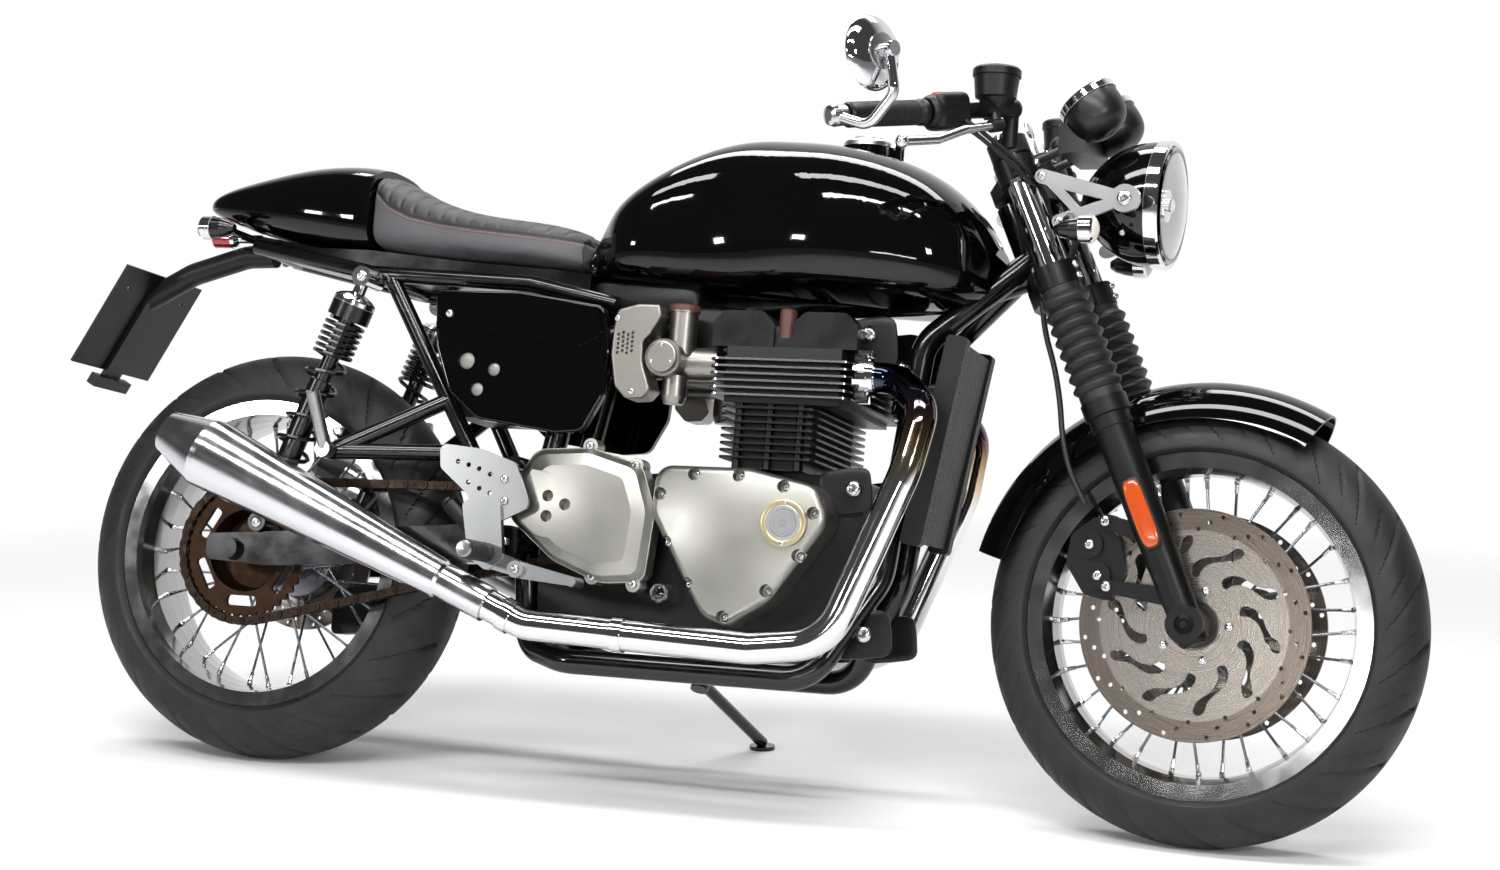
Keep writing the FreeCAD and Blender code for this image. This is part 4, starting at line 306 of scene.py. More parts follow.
# Drive chain and sprocket
# A roller chain of pressed steel plates riveted over hardened pins, brown with old oil.
# Narrow inner links and wide outer links follow each other round both sprockets.
def chain_line(count, pitch=15.875):
    """Places of the pins: straight runs tangent to both pitch circles, and the arcs between, in equal steps."""
    big, small = (pitch / (2 * math.sin(math.pi / teeth)) for teeth in (42, 17))
    shaft, axle = np.array([555.0, 385]), rear_axle[[0, 2]]
    span = shaft - axle
    slope, spread = math.atan2(span[1], span[0]), math.acos((big - small) / np.linalg.norm(span))
    top, low = slope + spread, slope - spread
    arcs = ((axle, big, np.linspace(top, low + 2 * math.pi, 400)), (shaft, small, np.linspace(low, top, 200)))
    line = np.concatenate([middle + radius * np.stack([np.cos(turn), np.sin(turn)], -1)
                           for middle, radius, turn in arcs])
    line = np.concatenate([line, line[:1]])
    length = np.concatenate([[0], np.cumsum(np.linalg.norm(np.diff(line, axis=0), axis=1))])
    even = np.linspace(0, length[-1], count, endpoint=False)
    return np.stack([np.interp(even, length, line[:, k]) for k in (0, 1)], -1)


def chain_links(count=100, chain_y=-100, corners=20):
    """Waisted plates either side of each pair of pins, with the pins and rollers through them."""
    pins = chain_line(count)
    ahead = np.roll(pins, -1, axis=0) - pins
    along = ahead / np.linalg.norm(ahead, axis=1)[:, None]
    upright = np.stack([-along[:, 1], along[:, 0]], -1)
    turn = turns(corners)
    reach = 7.9 * np.cos(turn) + 6.9 * np.sign(np.cos(turn)) * np.abs(np.cos(turn)) ** 0.6
    tall = 7.2 * np.sin(turn) * (0.78 + 0.286 * np.abs(np.cos(turn)) ** 0.5)
    middle = pins + ahead / 2
    flat = middle[:, None] + reach * along[:, None] + tall * upright[:, None]
    shapes = []
    for k in range(count):
        near = 5.2 if k % 2 else 7.0
        for sign in (-1, 1):
            sides = [chain_y + sign * near, chain_y + sign * (near + 1.7)]
            rims = np.stack([np.insert(flat[k], 1, y, axis=1) for y in sides])
            middles = np.stack([np.broadcast_to(np.insert(middle[k], 1, y), (corners, 3)) for y in sides])
            shapes.append(grid(np.concatenate([middles[:1], rims, middles[1:]])))
        pin = np.insert(pins[k], 1, chain_y)
        shapes.append(spun([(-9.8, 0), (-9.8, 2.6), (9.8, 2.6), (9.8, 0)], pin, (0, 1, 0), 8))
        shapes.append(spun([(-5, 2.6), (-5, 5), (5, 5), (5, 2.6)], pin, (0, 1, 0), 12))
    return shapes


oiled = textured(finish("oiled chain steel", "#332a24", 1, 0.42), 2, 0.1, 0.3, 0.55, 12)
piece("chain_links", chain_links(), oiled, "chassis", ("chain",), 30)
painted_on(textured(finish("brown oxide steel sprocket", "#3a2b22", 1, 0.5), 2, 0.06, 0.4, 0.62, 20),
           "rear_sprocket")


# Frame, swingarm, shocks and stand
# Welded steel tube under baked gloss enamel; the swingarm is box section, and the springs are painted.
# Zinc plated bolts hold the engine in its lugs.
def share_along(tree, way, source="Object"):
    """How far a place, or how much a normal, goes along a way: their dot product."""
    at = put(tree, "TexCoord").outputs[source]
    return put(tree, "VectorMath", {"operation": "DOT_PRODUCT"}, {0: at, 1: tuple(way)}).outputs["Value"]


def beyond(tree, point, way, blur=0.0006):
    """0 behind the plane through a place in metres and 1 beyond it, from the piece's own coordinates."""
    way = np.asarray(way, float) / np.linalg.norm(way)
    level = float(np.asarray(point, float) @ way)
    return between(tree, share_along(tree, way), 0.0, 1.0, level - blur, level + blur)


def bared(material, fac, colour, roughness):
    """Lays a metal finish over a material where fac is 1."""
    tree = material.node_tree
    metallic, rough, base = (tree.nodes["Principled BSDF"].inputs[name].default_value
                             for name in ("Metallic", "Roughness", "Base Color"))
    feed(tree, Base_Color=mixed(tree, fac, tuple(base), colour), Metallic=between(tree, fac, metallic, 1, 0, 1),
         Roughness=between(tree, fac, rough, roughness, 0, 1))
    return material


def plated_tip(material, place, way, colour, roughness, body="chassis"):
    """Plates what lies beyond a place along a way, both as on the upright machine."""
    start, end = place_of.get(body, parked)([place, np.add(place, way)])
    return bared(material, beyond(material.node_tree, start, end - start), colour, roughness)


def way_of(way):
    """A unit direction on the upright machine, as it lies on the stand."""
    start, end = parked([(0, 0, 0), np.multiply(way, 1000)])
    return end - start


def paired(places, radius, height, sides=24):
    """Button heads at each place and at its mirror image, facing outwards."""
    return [head for side in (-1, 1)
            for head in heads(np.multiply(places, (1, side, 1)), (0, side, 0), radius, height, sides)]


frame_enamel = textured(finish("baked black enamel on steel tube", "#060607", 0, 0.16), 4, 0.03, 0.12, 0.24)
cast_black = textured(finish("black powder coat on cast aluminium", "#050505", 0, 0.38,
                             Specular_IOR_Level=0.3), 0.9, 0.03, 0.34, 0.42)
shock_black = textured(finish("black painted steel spring", "#0a0a0b", 0, 0.25), 3, 0.04, 0.2, 0.34)
painted_on(frame_enamel, "frame", "subframe", "swingarm", "side_stand")
painted_on(plated_tip(shock_black, (160.2, 0, 681.5), (133, 0, 372), "#d5d6d8", 0.08), "shocks")
frame_bolts = paired([(960, 66, 400), (984, 64, 626), (441, 149, 345)], 8, 7, 6)
piece("frame_bolts", frame_bolts + paired([(175, 155, 723), (42, 155, 351)], 8, 4), plated, "chassis")


# Engine
# A parallel twin: black painted crankcase, barrel and head whose fin edges are polished bright,
# with satin clear-coated side covers held by socket screws sunk in their rims.
def fin_edged(name):
    """Black paint, bare and bright where the fins' outer edges face the sides."""
    material = textured(finish(name, "#0b0b0c", 0, 0.4), 0.9, 0.05, 0.32, 0.48)
    tree = material.node_tree
    side, fin_end = np.array(rear_spin["axis"]), 146
    level = put(tree, "Math", {"operation": "ABSOLUTE"}, {0: share_along(tree, side, "Normal")}).outputs[0]
    outer = put(tree, "Math", {"operation": "MAXIMUM"}, {
        k: beyond(tree, parked([(0, sign * fin_end, 500)])[0], sign * side) for k, sign in enumerate((1, -1))})
    edge = put(tree, "Math", {"operation": "MULTIPLY"},
               {0: between(tree, level, 0.0, 1.0, 0.86, 0.9), 1: outer.outputs[0]})
    return bared(material, edge.outputs[0], "#c9cacb", 0.22)


def pebble(centre, sizes, along=(1, 0, 0), over=(0, 0, 1), power=4.0, steps=24):
    """A rounded block: each axis times its half size times the signed 2/power root of the sphere's sines."""
    along = np.asarray(along, float) / np.linalg.norm(along)
    across = np.cross(over, along)
    across /= np.linalg.norm(across)
    over = np.cross(along, across)
    rise = np.linspace(-math.pi / 2, math.pi / 2, steps // 2 + 1)[:, None]
    turn = np.linspace(-math.pi, math.pi, steps, endpoint=False)[None, :]

    def eased(wave):
        return np.sign(wave) * np.abs(wave) ** (2 / power)

    flat = eased(np.cos(rise))
    shares = [flat * eased(np.cos(turn)), flat * eased(np.sin(turn)), eased(np.sin(rise)) + 0 * turn]
    return grid(np.asarray(centre, float) + sum(
        size / 2 * share[..., None] * way for size, share, way in zip(sizes, shares, (along, across, over))))


def domed_cast(centres, bulge, meeting_x=666):
    """Satin cast metal whose normal leans away from the nearer cover's centre, as on a gently domed face."""
    material = finish("satin clear-coated cast aluminium", "#9f9e98", 1, 0.37)
    tree = material.node_tree
    at = put(tree, "TexCoord").outputs["Object"]
    fore = beyond(tree, parked([(meeting_x, -150, 380)])[0], way_of((1, 0, 0)))
    back_centre, fore_centre = (tuple(centre) for centre in parked(centres))
    middle = put(tree, "Mix", {"data_type": "VECTOR"}, {0: fore, 4: back_centre, 5: fore_centre}).outputs[1]
    arm = put(tree, "VectorMath", {"operation": "SUBTRACT"}, {0: at, 1: middle}).outputs[0]
    lean = put(tree, "VectorMath", {"operation": "SCALE"}, {0: arm, "Scale": bulge}).outputs[0]
    flat = put(tree, "NewGeometry").outputs["Normal"]
    leaned = put(tree, "VectorMath", {"operation": "ADD"}, {0: flat, 1: lean}).outputs[0]
    curved = put(tree, "VectorMath", {"operation": "NORMALIZE"}, {0: leaned}).outputs[0]
    bump = put(tree, "Bump", inputs={"Height": speckle(tree, 0.9), "Distance": 0.00001, "Normal": curved})
    feed(tree, Normal=bump.outputs["Normal"], Roughness=between(tree, speckle(tree, 30), 0.35, 0.39))
    return material


painted_on(cast_black, "crankcase", "yokes", "fork_lowers", "rear_caliper", "front_calipers")
painted_on(textured(finish("semi-gloss black cam cover", "#0c0c0d", 0, 0.28), 0.9, 0.02, 0.24, 0.32),
           "cam_cover")
painted_on(fin_edged("black paint with polished fin edges"), "head")
painted_on(textured(finish("black painted barrel", "#060606", 0, 0.36, Specular_IOR_Level=0.35),
                    0.9, 0.03, 0.32, 0.4), "barrel")
painted_on(domed_cast([(575, -112, 400), (790, -112, 360)], 1.9), "right_covers", "left_covers")
clutch_rim = [(720, 455), (786, 456), (852, 444), (897, 409), (880, 350), (838, 299), (778, 259), (722, 302),
              (686, 358), (672, 425)]
screws = heads([(x, -132, z) for x, z in clutch_rim], (0, -1, 0), 6, 6)
screws += heads([(x, -142, z) for x, z in ((558, 488), (630, 463), (640, 296), (577, 303))], (0, -1, 0), 6.5, 5)
screws += heads([(858, -159.3, 421.5), (858, -159.3, 364.5)], (0, -1, 0), 2.8, 1.2, 16)
screws += heads([(x, y, 668) for y in (-112, 112) for x in (734, 852)], (0, 0, 1), 7, 6)
piece("cover_screws", screws, plated, "chassis")
piece("engine_plates", [
    pebble((x, side * y, z), (long, tall, 9), (1, 0, 0.15), (0, side, 0), 5, 20) for side in (-1, 1)
    for x, y, z, long, tall in ((932, 75, 655, 96, 76), (925, 93, 446, 76, 64), (958, 71, 250, 84, 66))],
      cast_black, "chassis")
piece("engine_bolts", paired([(938, 79.5, 670), (938, 97.5, 450), (962, 75.5, 251)], 12, 9), plated, "chassis")
piece("coil_pack", [pebble(middle, sizes, power=8) for middle, sizes in (
    ((652, 0, 672), (150, 130, 76)), ((592, 0, 712), (176, 140, 58)))], cast_black, "chassis")
cap_at = (858, -154.9, 393)
spun_cap = ground_disc("spun aluminium cap", parked([cap_at])[0], rear_spin["axis"], -5, band="#cfd0d2")
piece("clutch_cap_disc", spun([(0, 0), (0, 24.4), (4.0, 24.4), (4.4, 23.8), (3.4, 0)], cap_at, (0, -1, 0), 64),
      spun_cap, "chassis")
gold_ring = textured(finish("pale gold anodised cap ring", "#b3a888", 1, 0.34), 1.5, 0.01, 0.3, 0.38)
piece("clutch_cap_ring", spun([(0, 24.8), (4.2, 24.8), (4.6, 25.6), (4.6, 31.4), (4, 32.8), (0, 32.8)],
                              cap_at, (0, -1, 0), 64), gold_ring, "chassis")
piece("sight_rim", spun([(0, 0), (0, 14), (22, 14), (24, 12.5), (24, 9), (22, 8.5), (22, 0)], (668, -89, 288),
                        (0, -1, 0)), plated, "chassis")
dark_glass = finish("dark sight glass", "#120b06", 0, 0.05, Coat_Weight=1.0)
piece("sight_glass", spun([(0, 0), (0, 8.4), (2, 7.5), (3, 4), (3.4, 0)], (668, -111, 288), (0, -1, 0)),
      dark_glass, "chassis")
rubber_plug = textured(finish("moulded brown rubber plug", "#4a2a20", 0, 0.5), 2, 0.05, 0.42, 0.6)
piece("cam_plugs", [spun([(0, 11.3), (0, 12), (56, 12), (59, 9), (60, 0)], (826, y, 638.5), (0, 0, 1))
                    for y in (-106, 106)], rubber_plug, "chassis")


# Throttle bodies
# Cast bodies dressed as carburettors: a pierced trim, a round cover and a knurled top cap.
bright_alloy = textured(finish("brushed forged aluminium", "#a3a4a5", 1, 0.3), 1.0, 0.006, 0.28, 0.33)
painted_on(bright_alloy, "rearsets", "headlamp_brackets")
painted_on(textured(finish("lacquered die-cast zinc body", "#8f8c86", 1, 0.36), 1.0, 0.01, 0.34, 0.39),
           "throttle_bodies")
trim_screws = paired([(658, 155.5, 634), (644, 155.5, 610), (672, 155.5, 610)], 3, 2.5, 16)
piece("trim_screws", trim_screws + paired([(586, 150, 671), (616, 150, 567)], 4.5, 3), plated, "chassis")
throttle_cap = [(0, 20.4), (0, 22.5), (8, 22.5), (9.5, 20), (10, 0)]
piece("throttle_caps", [spun(throttle_cap, (672, y, 689), (0, 0, 1), 40) for y in (-110, 110)], rubber_plug,
      "chassis")


# Exhaust
# Chromium plated steel pipes clamped to the head by finned roses, with reverse-cone silencers.
# The first hand's breadth of pipe has blued from the heat, then turned straw and purple.
def blued_chrome(bare="#dedfe1"):
    """Chrome whose colour runs blue, purple and straw down from the port, by height on the machine."""
    material = textured(finish("chromium plate blued by heat", bare, 1, 0.06), 6, 0.015, 0.04, 0.1)
    tree = material.node_tree
    up = way_of((0, 0, 1))
    low, high = (float(place @ up) for place in parked([(1000, -150, 400), (1000, -150, 610)]))
    ramp = put(tree, "ValToRGB", inputs={"Fac": between(tree, share_along(tree, up), 0.0, 1.0, low, high)})
    stops = ramp.color_ramp.elements
    stops[0].position, stops[0].color = 0.2, linear(bare)
    stops[1].position, stops[1].color = 1.0, linear("#292d3c")
    for place, colour in ((0.4, "#cbbb9d"), (0.58, "#9d7f66"), (0.74, "#6d5a60"), (0.88, "#424655")):
        stops.new(place).color = linear(colour)
    fore = beyond(tree, parked([(961, -150, 500)])[0], way_of((1, 0, 0)), 0.001)
    feed(tree, Base_Color=mixed(tree, fore, bare, ramp.outputs["Color"]))
    return material


chrome = textured(finish("chromium plate on steel", "#dedfe1", 1, 0.06), 6, 0.015, 0.035, 0.09)
painted_on(blued_chrome(), "exhaust_pipes")
painted_on(textured(finish("brushed chrome silencer", "#cfd0d2", 1, 0.17), 1.2, 0.02, 0.12, 0.22), "silencers")
painted_on(chrome, "stanchions")


# Radiator
# An aluminium core painted black; louvred fins show as fine diamonds between its tanks.
def cooling_core(ridge=0.006):
    """Black paint with two sets of slanted ridges 6 mm apart as bump, so that diamonds show."""
    material = textured(finish("black painted radiator core", "#050505", 0, 0.42, Specular_IOR_Level=0.35),
                        1.5, 0.03, 0.4, 0.46)
    tree = material.node_tree
    waves = []
    for way in ((0, 0.7, 0.7), (0, 0.7, -0.7)):
        turn = put(tree, "Math", {"operation": "MULTIPLY"}, {0: share_along(tree, way), 1: 2 * math.pi / ridge})
        waves.append(put(tree, "Math", {"operation": "SINE"}, {0: turn.outputs[0]}).outputs[0])
    high = put(tree, "Math", {"operation": "MAXIMUM"}, enumerate(waves)).outputs[0]
    front = put(tree, "Math", {"operation": "ABSOLUTE"}, {0: share_along(tree, way_of((1, 0, 0)), "Normal")})
    bump = put(tree, "Bump", inputs={"Height": high, "Distance": 0.0012,
                                     "Strength": between(tree, front.outputs[0], 0.0, 1.0, 0.5, 0.7)})
    feed(tree, Normal=bump.outputs["Normal"])
    return material


painted_on(cooling_core(), "radiator")


# Tank, cowl, side panels and mudguard
# Pressed and moulded panels under deep gloss black lacquer, with a polished flip-up filler cap.
tank_paint = textured(finish("gloss black lacquer", "#030303", 0, 0.05, IOR=1.45), 25, 0.006, 0.035, 0.06, 120)
painted_on(tank_paint, "tank", "seat_cowl", "side_panels", "front_mudguard")
painted_on(textured(finish("polished cast filler cap", "#c9cacc", 1, 0.3), 1.5, 0.005, 0.27, 0.33),
           "filler_lid")
lid_turn = np.arange(8) * math.pi / 4 + 0.2
lid_ring = np.stack([893 + 30.5 * np.cos(lid_turn), 30.5 * np.sin(lid_turn), np.full(8, 962.2)], -1)
piece("lid_screws", heads(lid_ring, (0, 0, 1), 2.6, 2, 12), plated, "filler_lid")
piece("panel_bolts", paired([(320, 145.2, 672)], 6, 4), plated, "chassis")
steel_gauze = textured(finish("pressed steel gauze", "#8b8a86", 1, 0.45), 1.2, 0.5, 0.4, 0.6)
piece("panel_gauzes", [
    spun([(-2, 0), (-2, radius), (0.6, radius), (2, radius * 0.7), (2.6, 0)],
         (x, side * 138, z), (0, side, 0), 28)
    for side in (-1, 1) for x, z, radius in ((352, 604, 12.2), (396, 593, 9.8), (372, 563, 9.8))],
      steel_gauze, "chassis")


# Seat
# Foam on a pressed base under hide: smooth grey sides, whose grey is partly the hide's own and partly painted
# sheen, a fluted black top and a welted seam between them, sewn with rust-brown thread.
seat_seam = np.array([(146, 884), (155, 861), (181, 839), (218, 823), (272, 812), (320, 806), (376, 800),
                      (434, 796), (500, 792)], float)


def evaluated(pad):
    """The pad as its modifiers leave it."""
    return pad.evaluated_get(bpy.context.evaluated_depsgraph_get())


def applied(pad):
    """Makes a pad's modifiers part of its mesh, and gives its points and the ways that they face."""
    pad.data = bpy.data.meshes.new_from_object(evaluated(pad))
    pad.modifiers.clear()
    spots, facing = np.empty((2, len(pad.data.vertices) * 3))
    pad.data.vertices.foreach_get("co", spots)
    pad.data.vertex_normals.foreach_get("vector", facing)
    return spots.reshape(-1, 3), facing.reshape(-1, 3)


def blown(node, name, voxel_mm, pressure, cap_mm):
    """A closed copy of a solid, remeshed, drawn in by 3 mm, then swelled by the pressure up to the cap."""
    pad = added(name, nodes[node].data.copy())
    net = bmesh.new()
    net.from_mesh(pad.data)
    bmesh.ops.remove_doubles(net, verts=net.verts, dist=1e-5)
    net.to_mesh(pad.data)
    net.free()
    remesh = pad.modifiers.new("remesh", "REMESH")
    remesh.mode = "VOXEL"
    remesh.voxel_size = voxel_mm / 1000
    rest, facing = applied(pad)
    rest -= 0.003 * facing
    pad.data.vertices.foreach_set("co", rest.ravel())
    pad.data.update()
    cloth = pad.modifiers.new("cloth", "CLOTH")
    cloth.settings.use_pressure = True
    cloth.settings.uniform_pressure_force = pressure
    cloth.settings.effector_weights.gravity = 0
    for step in range(1, 21):
        bpy.context.scene.frame_set(step)
    swelled = np.empty(rest.size)
    evaluated(pad).data.vertices.foreach_get("co", swelled)
    move = swelled.reshape(-1, 3) - rest
    length = np.linalg.norm(move, axis=1, keepdims=True) + 1e-9
    rest += move * np.minimum(1, cap_mm / 1000 / length)
    pad.modifiers.clear()
    pad.data.vertices.foreach_set("co", rest.ravel())
    bpy.context.scene.frame_set(1)
    return pad


def upright(points):
    """The upright millimetres of places in metres: parked, undone."""
    zero, axes = parked(rear_axle), parked(rear_axle + 1000 * np.eye(3))
    return (np.asarray(points) - zero) @ (axes - zero).T * 1000 + rear_axle


def hide(name, dark, light, smooth, rough):
    """Grained hide: fine cells pressed in as bump, and slow patches of colour and gloss."""
    material = finish(name, dark, 0, rough)
    tree = material.node_tree
    cells = put(tree, "TexVoronoi", {"feature": "DISTANCE_TO_EDGE"},
                {"Vector": put(tree, "TexCoord").outputs["Object"], "Scale": 520.0}).outputs["Distance"]
    bump = put(tree, "Bump", inputs={"Height": between(tree, cells, 0.0, 1.0, 0.0, 0.25), "Distance": 0.00015})
    feed(tree, Normal=bump.outputs["Normal"], Roughness=between(tree, speckle(tree, 60), smooth, rough),
         Base_Color=mixed(tree, speckle(tree, 90), dark, light))
    return material


seat_pad = blown("seat", "seat_pad", 4.5, 4.0, 3.4)
smoother = seat_pad.modifiers.new("finer", "SUBSURF")
smoother.levels = smoother.render_levels = 1
spots, facing = applied(seat_pad)
x, y, z = upright(spots).T
over = z - np.interp(x, *seat_seam.T)
flute = np.abs(((x + 0.25 * np.abs(y)) / 24) % 1 - 0.5) * 24
on_top = np.clip((over - 5) / 4, 0, 1)
sink = 2.4 * np.exp(-(flute / 2.6) ** 2) * on_top + 2.2 * np.exp(-(over / 2.4) ** 2) - 0.9 * on_top
spots -= facing * (sink / 1000)[:, None]
skin = seat_pad.data
skin.vertices.foreach_set("co", spots.ravel())
skin.shade_smooth()
skin.materials.clear()
# The sides' lighter grey base is partly painted sheen: light off the smooth hide, laid into its colour.
skin.materials.append(hide("smooth grey side hide with painted sheen", "#3e3d40", "#4b4a4d", 0.34, 0.46))
skin.materials.append(hide("grained black top hide", "#1d1c1d", "#2a292a", 0.4, 0.55))
first_corner = np.empty(len(skin.polygons), dtype=np.int32)
corners = np.empty(len(skin.loops), dtype=np.int32)
skin.polygons.foreach_get("loop_start", first_corner)
skin.loops.foreach_get("vertex_index", corners)
skin.polygons.foreach_set("material_index", (over[corners[first_corner]] > 0).astype(np.int32))
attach(seat_pad, "chassis")
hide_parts("seat")
cover = BVHTree.FromPolygons([Vector(spot) for spot in spots], [tuple(face.vertices) for face in skin.polygons])
thread = textured(finish("rust-brown bonded thread", "#6d3328", 0, 0.6), 0.6, 0.05, 0.55, 0.7, 6)
stitches = []
stitch_x = np.arange(158, 492, 5.2)
stitch_z = np.interp(stitch_x, *seat_seam.T) - 5
for side in (-1, 1):
    inward = Vector(way_of((0, -side, 0))).normalized()
    starts = parked(np.stack([stitch_x, np.full(len(stitch_x), side * 200.0), stitch_z], -1))
    hits = [cover.ray_cast(Vector(start), inward)[0] for start in starts]
    found = upright([tuple(hit) for hit in hits if hit is not None])
    for here, following in zip(found, found[1:]):
        if np.linalg.norm(following - here) < 12:
            stitches.append(spun([(0, 0), (0.1, 0.7), (3.5, 0.8), (3.8, 0)], here + (0, side * 0.3, 0),
                                 following - here, 6))
piece("seat_stitches", stitches, thread, "chassis")
tray = np.array([(-60, 774, 800, 50), (60, 750, 778, 80), (150, 740, 775, 84), (300, 728, 761, 84),
                 (470, 720, 750, 84), (506, 718, 748, 70)], float)
edges = np.stack([np.stack([tray[:, 0], side * tray[:, 3], tray[:, level]], -1)
                  for side, level in ((-1, 1), (1, 1), (1, 2), (-1, 2))], 1)
ends = [np.broadcast_to(edges[k].mean(axis=0), (1, 4, 3)) for k in (0, -1)]
piece("seat_base", grid(np.concatenate([ends[0], edges, ends[1]])), frame_enamel, "chassis", crease=25)


# Tail: plate hanger, lamps and indicators
# Moulded black plastic under the cowl, a blank plate, and bullet indicators with plated rings.
black_plastic = textured(finish("moulded black plastic", "#060606", 0, 0.42, Specular_IOR_Level=0.35),
                         0.8, 0.03, 0.41, 0.45)
painted_on(black_plastic, "airbox", "tail_hanger", "number_plate", "handlebars")
bullet_black = textured(finish("gloss black indicator body", "#080809", 0, 0.2), 3, 0.03, 0.14, 0.26)
painted_on(plated_tip(bullet_black, (-108, 0, 790), (-1, 0, 0), "#d5d6d8", 0.08), "rear_lamps")
smoke_lens = finish("clear indicator lens", "#c9c4ba", 0, 0.12, Coat_Weight=1.0)
red_lens = finish("moulded red acrylic", "#8c0a0c", 0, 0.12, Coat_Weight=1.0)
piece("rear_indicator_lenses", [spun([(0, 0), (0, 15.3), (2, 14.6), (5, 10), (6.5, 5), (7, 0)],
                                     (-127.4, y, 800), (-1, 0, 0)) for y in (-112, 112)], smoke_lens, "chassis")
piece("tail_lens", spun([(0, 0), (0, 14.9), (30, 14.9), (33, 12), (34.6, 0)], (-140.5, 0, 804.7), (-1, 0, 0)),
      red_lens, "chassis")


# Forks, yokes, brakes and front mudguard
# Chromed stanchions in black lower legs under rubber gaiters, with twin-piston calipers.
painted_on(textured(finish("moulded bellows rubber", "#101012", 0, 0.5), 1.2, 0.06, 0.42, 0.6), "gaiters")
painted_on(textured(finish("black rubber hose", "#0c0c0d", 0, 0.5), 2, 0.05, 0.42, 0.6), "brake_hoses")
lens_orange = finish("moulded orange acrylic", "#ab400a", 0, 0.2, Coat_Weight=0.6)
black_bolt = textured(finish("blacked steel screw", "#1a1a1b", 1, 0.35), 1.5, 0.03, 0.25, 0.45, 8)
rake = math.radians(24)
steer_line = np.array([-math.sin(rake), 0, math.cos(rake)])
steer_front = np.array([math.cos(rake), 0, math.sin(rake)])


def on_fork(rise, side):
    """A place on a fork leg's centre line, which leans back by the rake."""
    return front_axle + (-rise * math.tan(rake), side, rise)


for side in (-1, 1):
    out = (0, side, 0)
    lens, back = (pebble(on_fork(142, side * far), sizes, steer_line, out)
                  for far, sizes in ((128.5, (94, 25, 9)), (125.5, (101, 31, 8))))
    piece(f"reflector_{side + 2}", lens, lens_orange, "steering")
    piece(f"reflector_back_{side + 2}", back, black_plastic, "steering")
    caliper_bolts = heads([front_axle + (x, side * 97.5, z) for x, z in ((-118, 131), (-112, 44))], out, 7.5, 6)
    caliper_bolts += heads([front_axle + (x, side * 88.5, z) for x, z in ((-141, 99), (-128, 58))], out, 6, 2)
    piece(f"caliper_bolts_{side + 2}", caliper_bolts, plated, "steering")
    piece(f"axle_nut_{side + 2}", heads([front_axle + (0, side * 124, 0)], out, 13, 4), black_bolt, "steering")
    fork_cap = spun([(0, 0), (0, 17), (5, 17), (7, 15), (7, 8), (3, 8), (3, 0)],
                    on_fork(651, side * 100) - steer_line * 0.5, steer_line)
    piece(f"fork_caps_{side + 2}", fork_cap, plated, "steering")
    yoke_bolts = [on_fork(rise, side * 100) + steer_front * 29 + steer_line * drop
                  for rise, drop in ((458, 8), (458, -8), (605, 0))]
    piece(f"yoke_bolts_{side + 2}", heads(yoke_bolts, steer_front, 5, 5), plated, "steering")
stem_top = on_fork(616, 0) - (36.75 / math.cos(rake), 0, 0)
piece("steering_nut", spun([(0, 0), (0, 17), (9, 17), (12, 13), (12, 0)], stem_top, steer_line, 6), plated,
      "steering")


# Headlamp
# A spun steel bowl under gloss black, a chromed bezel, and a clear domed glass over its reflector.
lamp_way = np.array([1, 0, -0.05]) / math.hypot(1, 0.05)
lamp_at = front_axle + (-77, 0, 575)
shell_paint = finish("gloss black headlamp bowl", "#030303", 0, 0.07)
painted_on(plated_tip(shell_paint, lamp_at - lamp_way * 17, lamp_way, "#dedfe1", 0.05, "steering"),
           "headlamp_shell")
dish = [(-7.6 + 13 * (out / 79.5) ** 2, out) for out in np.linspace(0, 79.5, 18)]
lamp_dish = finish("vacuum-coated reflector", "#8e9092", 1, 0.14)
piece("headlamp_reflector", spun(dish, lamp_at, lamp_way, 64), lamp_dish, "steering")
piece("headlamp_bulb", [spun([(-4, 0), (-4, 10), (2, 10), (4, 8), (6, 0)], lamp_at, lamp_way),
                        spun([(-7, 0), (-7, 24), (-4, 23), (-3, 0)], lamp_at, lamp_way)], chrome, "steering")
dome = [(17.5 - 14.5 * (out / 80) ** 2, out) for out in np.linspace(0, 80, 20)]
inner_dome = [(along - 2.2, max(0, out - 0.5)) for along, out in dome[::-1]]
lamp_glass = finish("clear pressed lamp glass", "#ffffff", 0, 0.02, Transmission_Weight=1.0, IOR=1.5)
piece("headlamp_glass", spun(dome + inner_dome, lamp_at, lamp_way, 64), lamp_glass, "steering",
      ("headlamp_lens",))
bracket_bolts = paired([(1190, 128.5, 890), (1217, 128.5, 828)], 6, 3)
bracket_bolts += paired([(1306, 130.5, 859)], 10, 4) + paired([(1294, 85.5, 820)], 4, 3)
piece("bracket_bolts", bracket_bolts, plated, "steering")
bullet_front = textured(finish("gloss black front indicator", "#080809", 0, 0.2), 3, 0.03, 0.14, 0.26)
painted_on(plated_tip(bullet_front, (1254.5, 0, 813), (1, 0, 0), "#d5d6d8", 0.08, "steering"),
           "front_indicators")
bullet_lens = [(0, 0), (0, 16), (2, 15), (5, 10), (6.5, 5), (7, 0)]
piece("front_indicator_lenses", [spun(bullet_lens, (1273.5, y, 813), (1, 0, 0)) for y in (-152, 152)],
      smoke_lens, "steering")


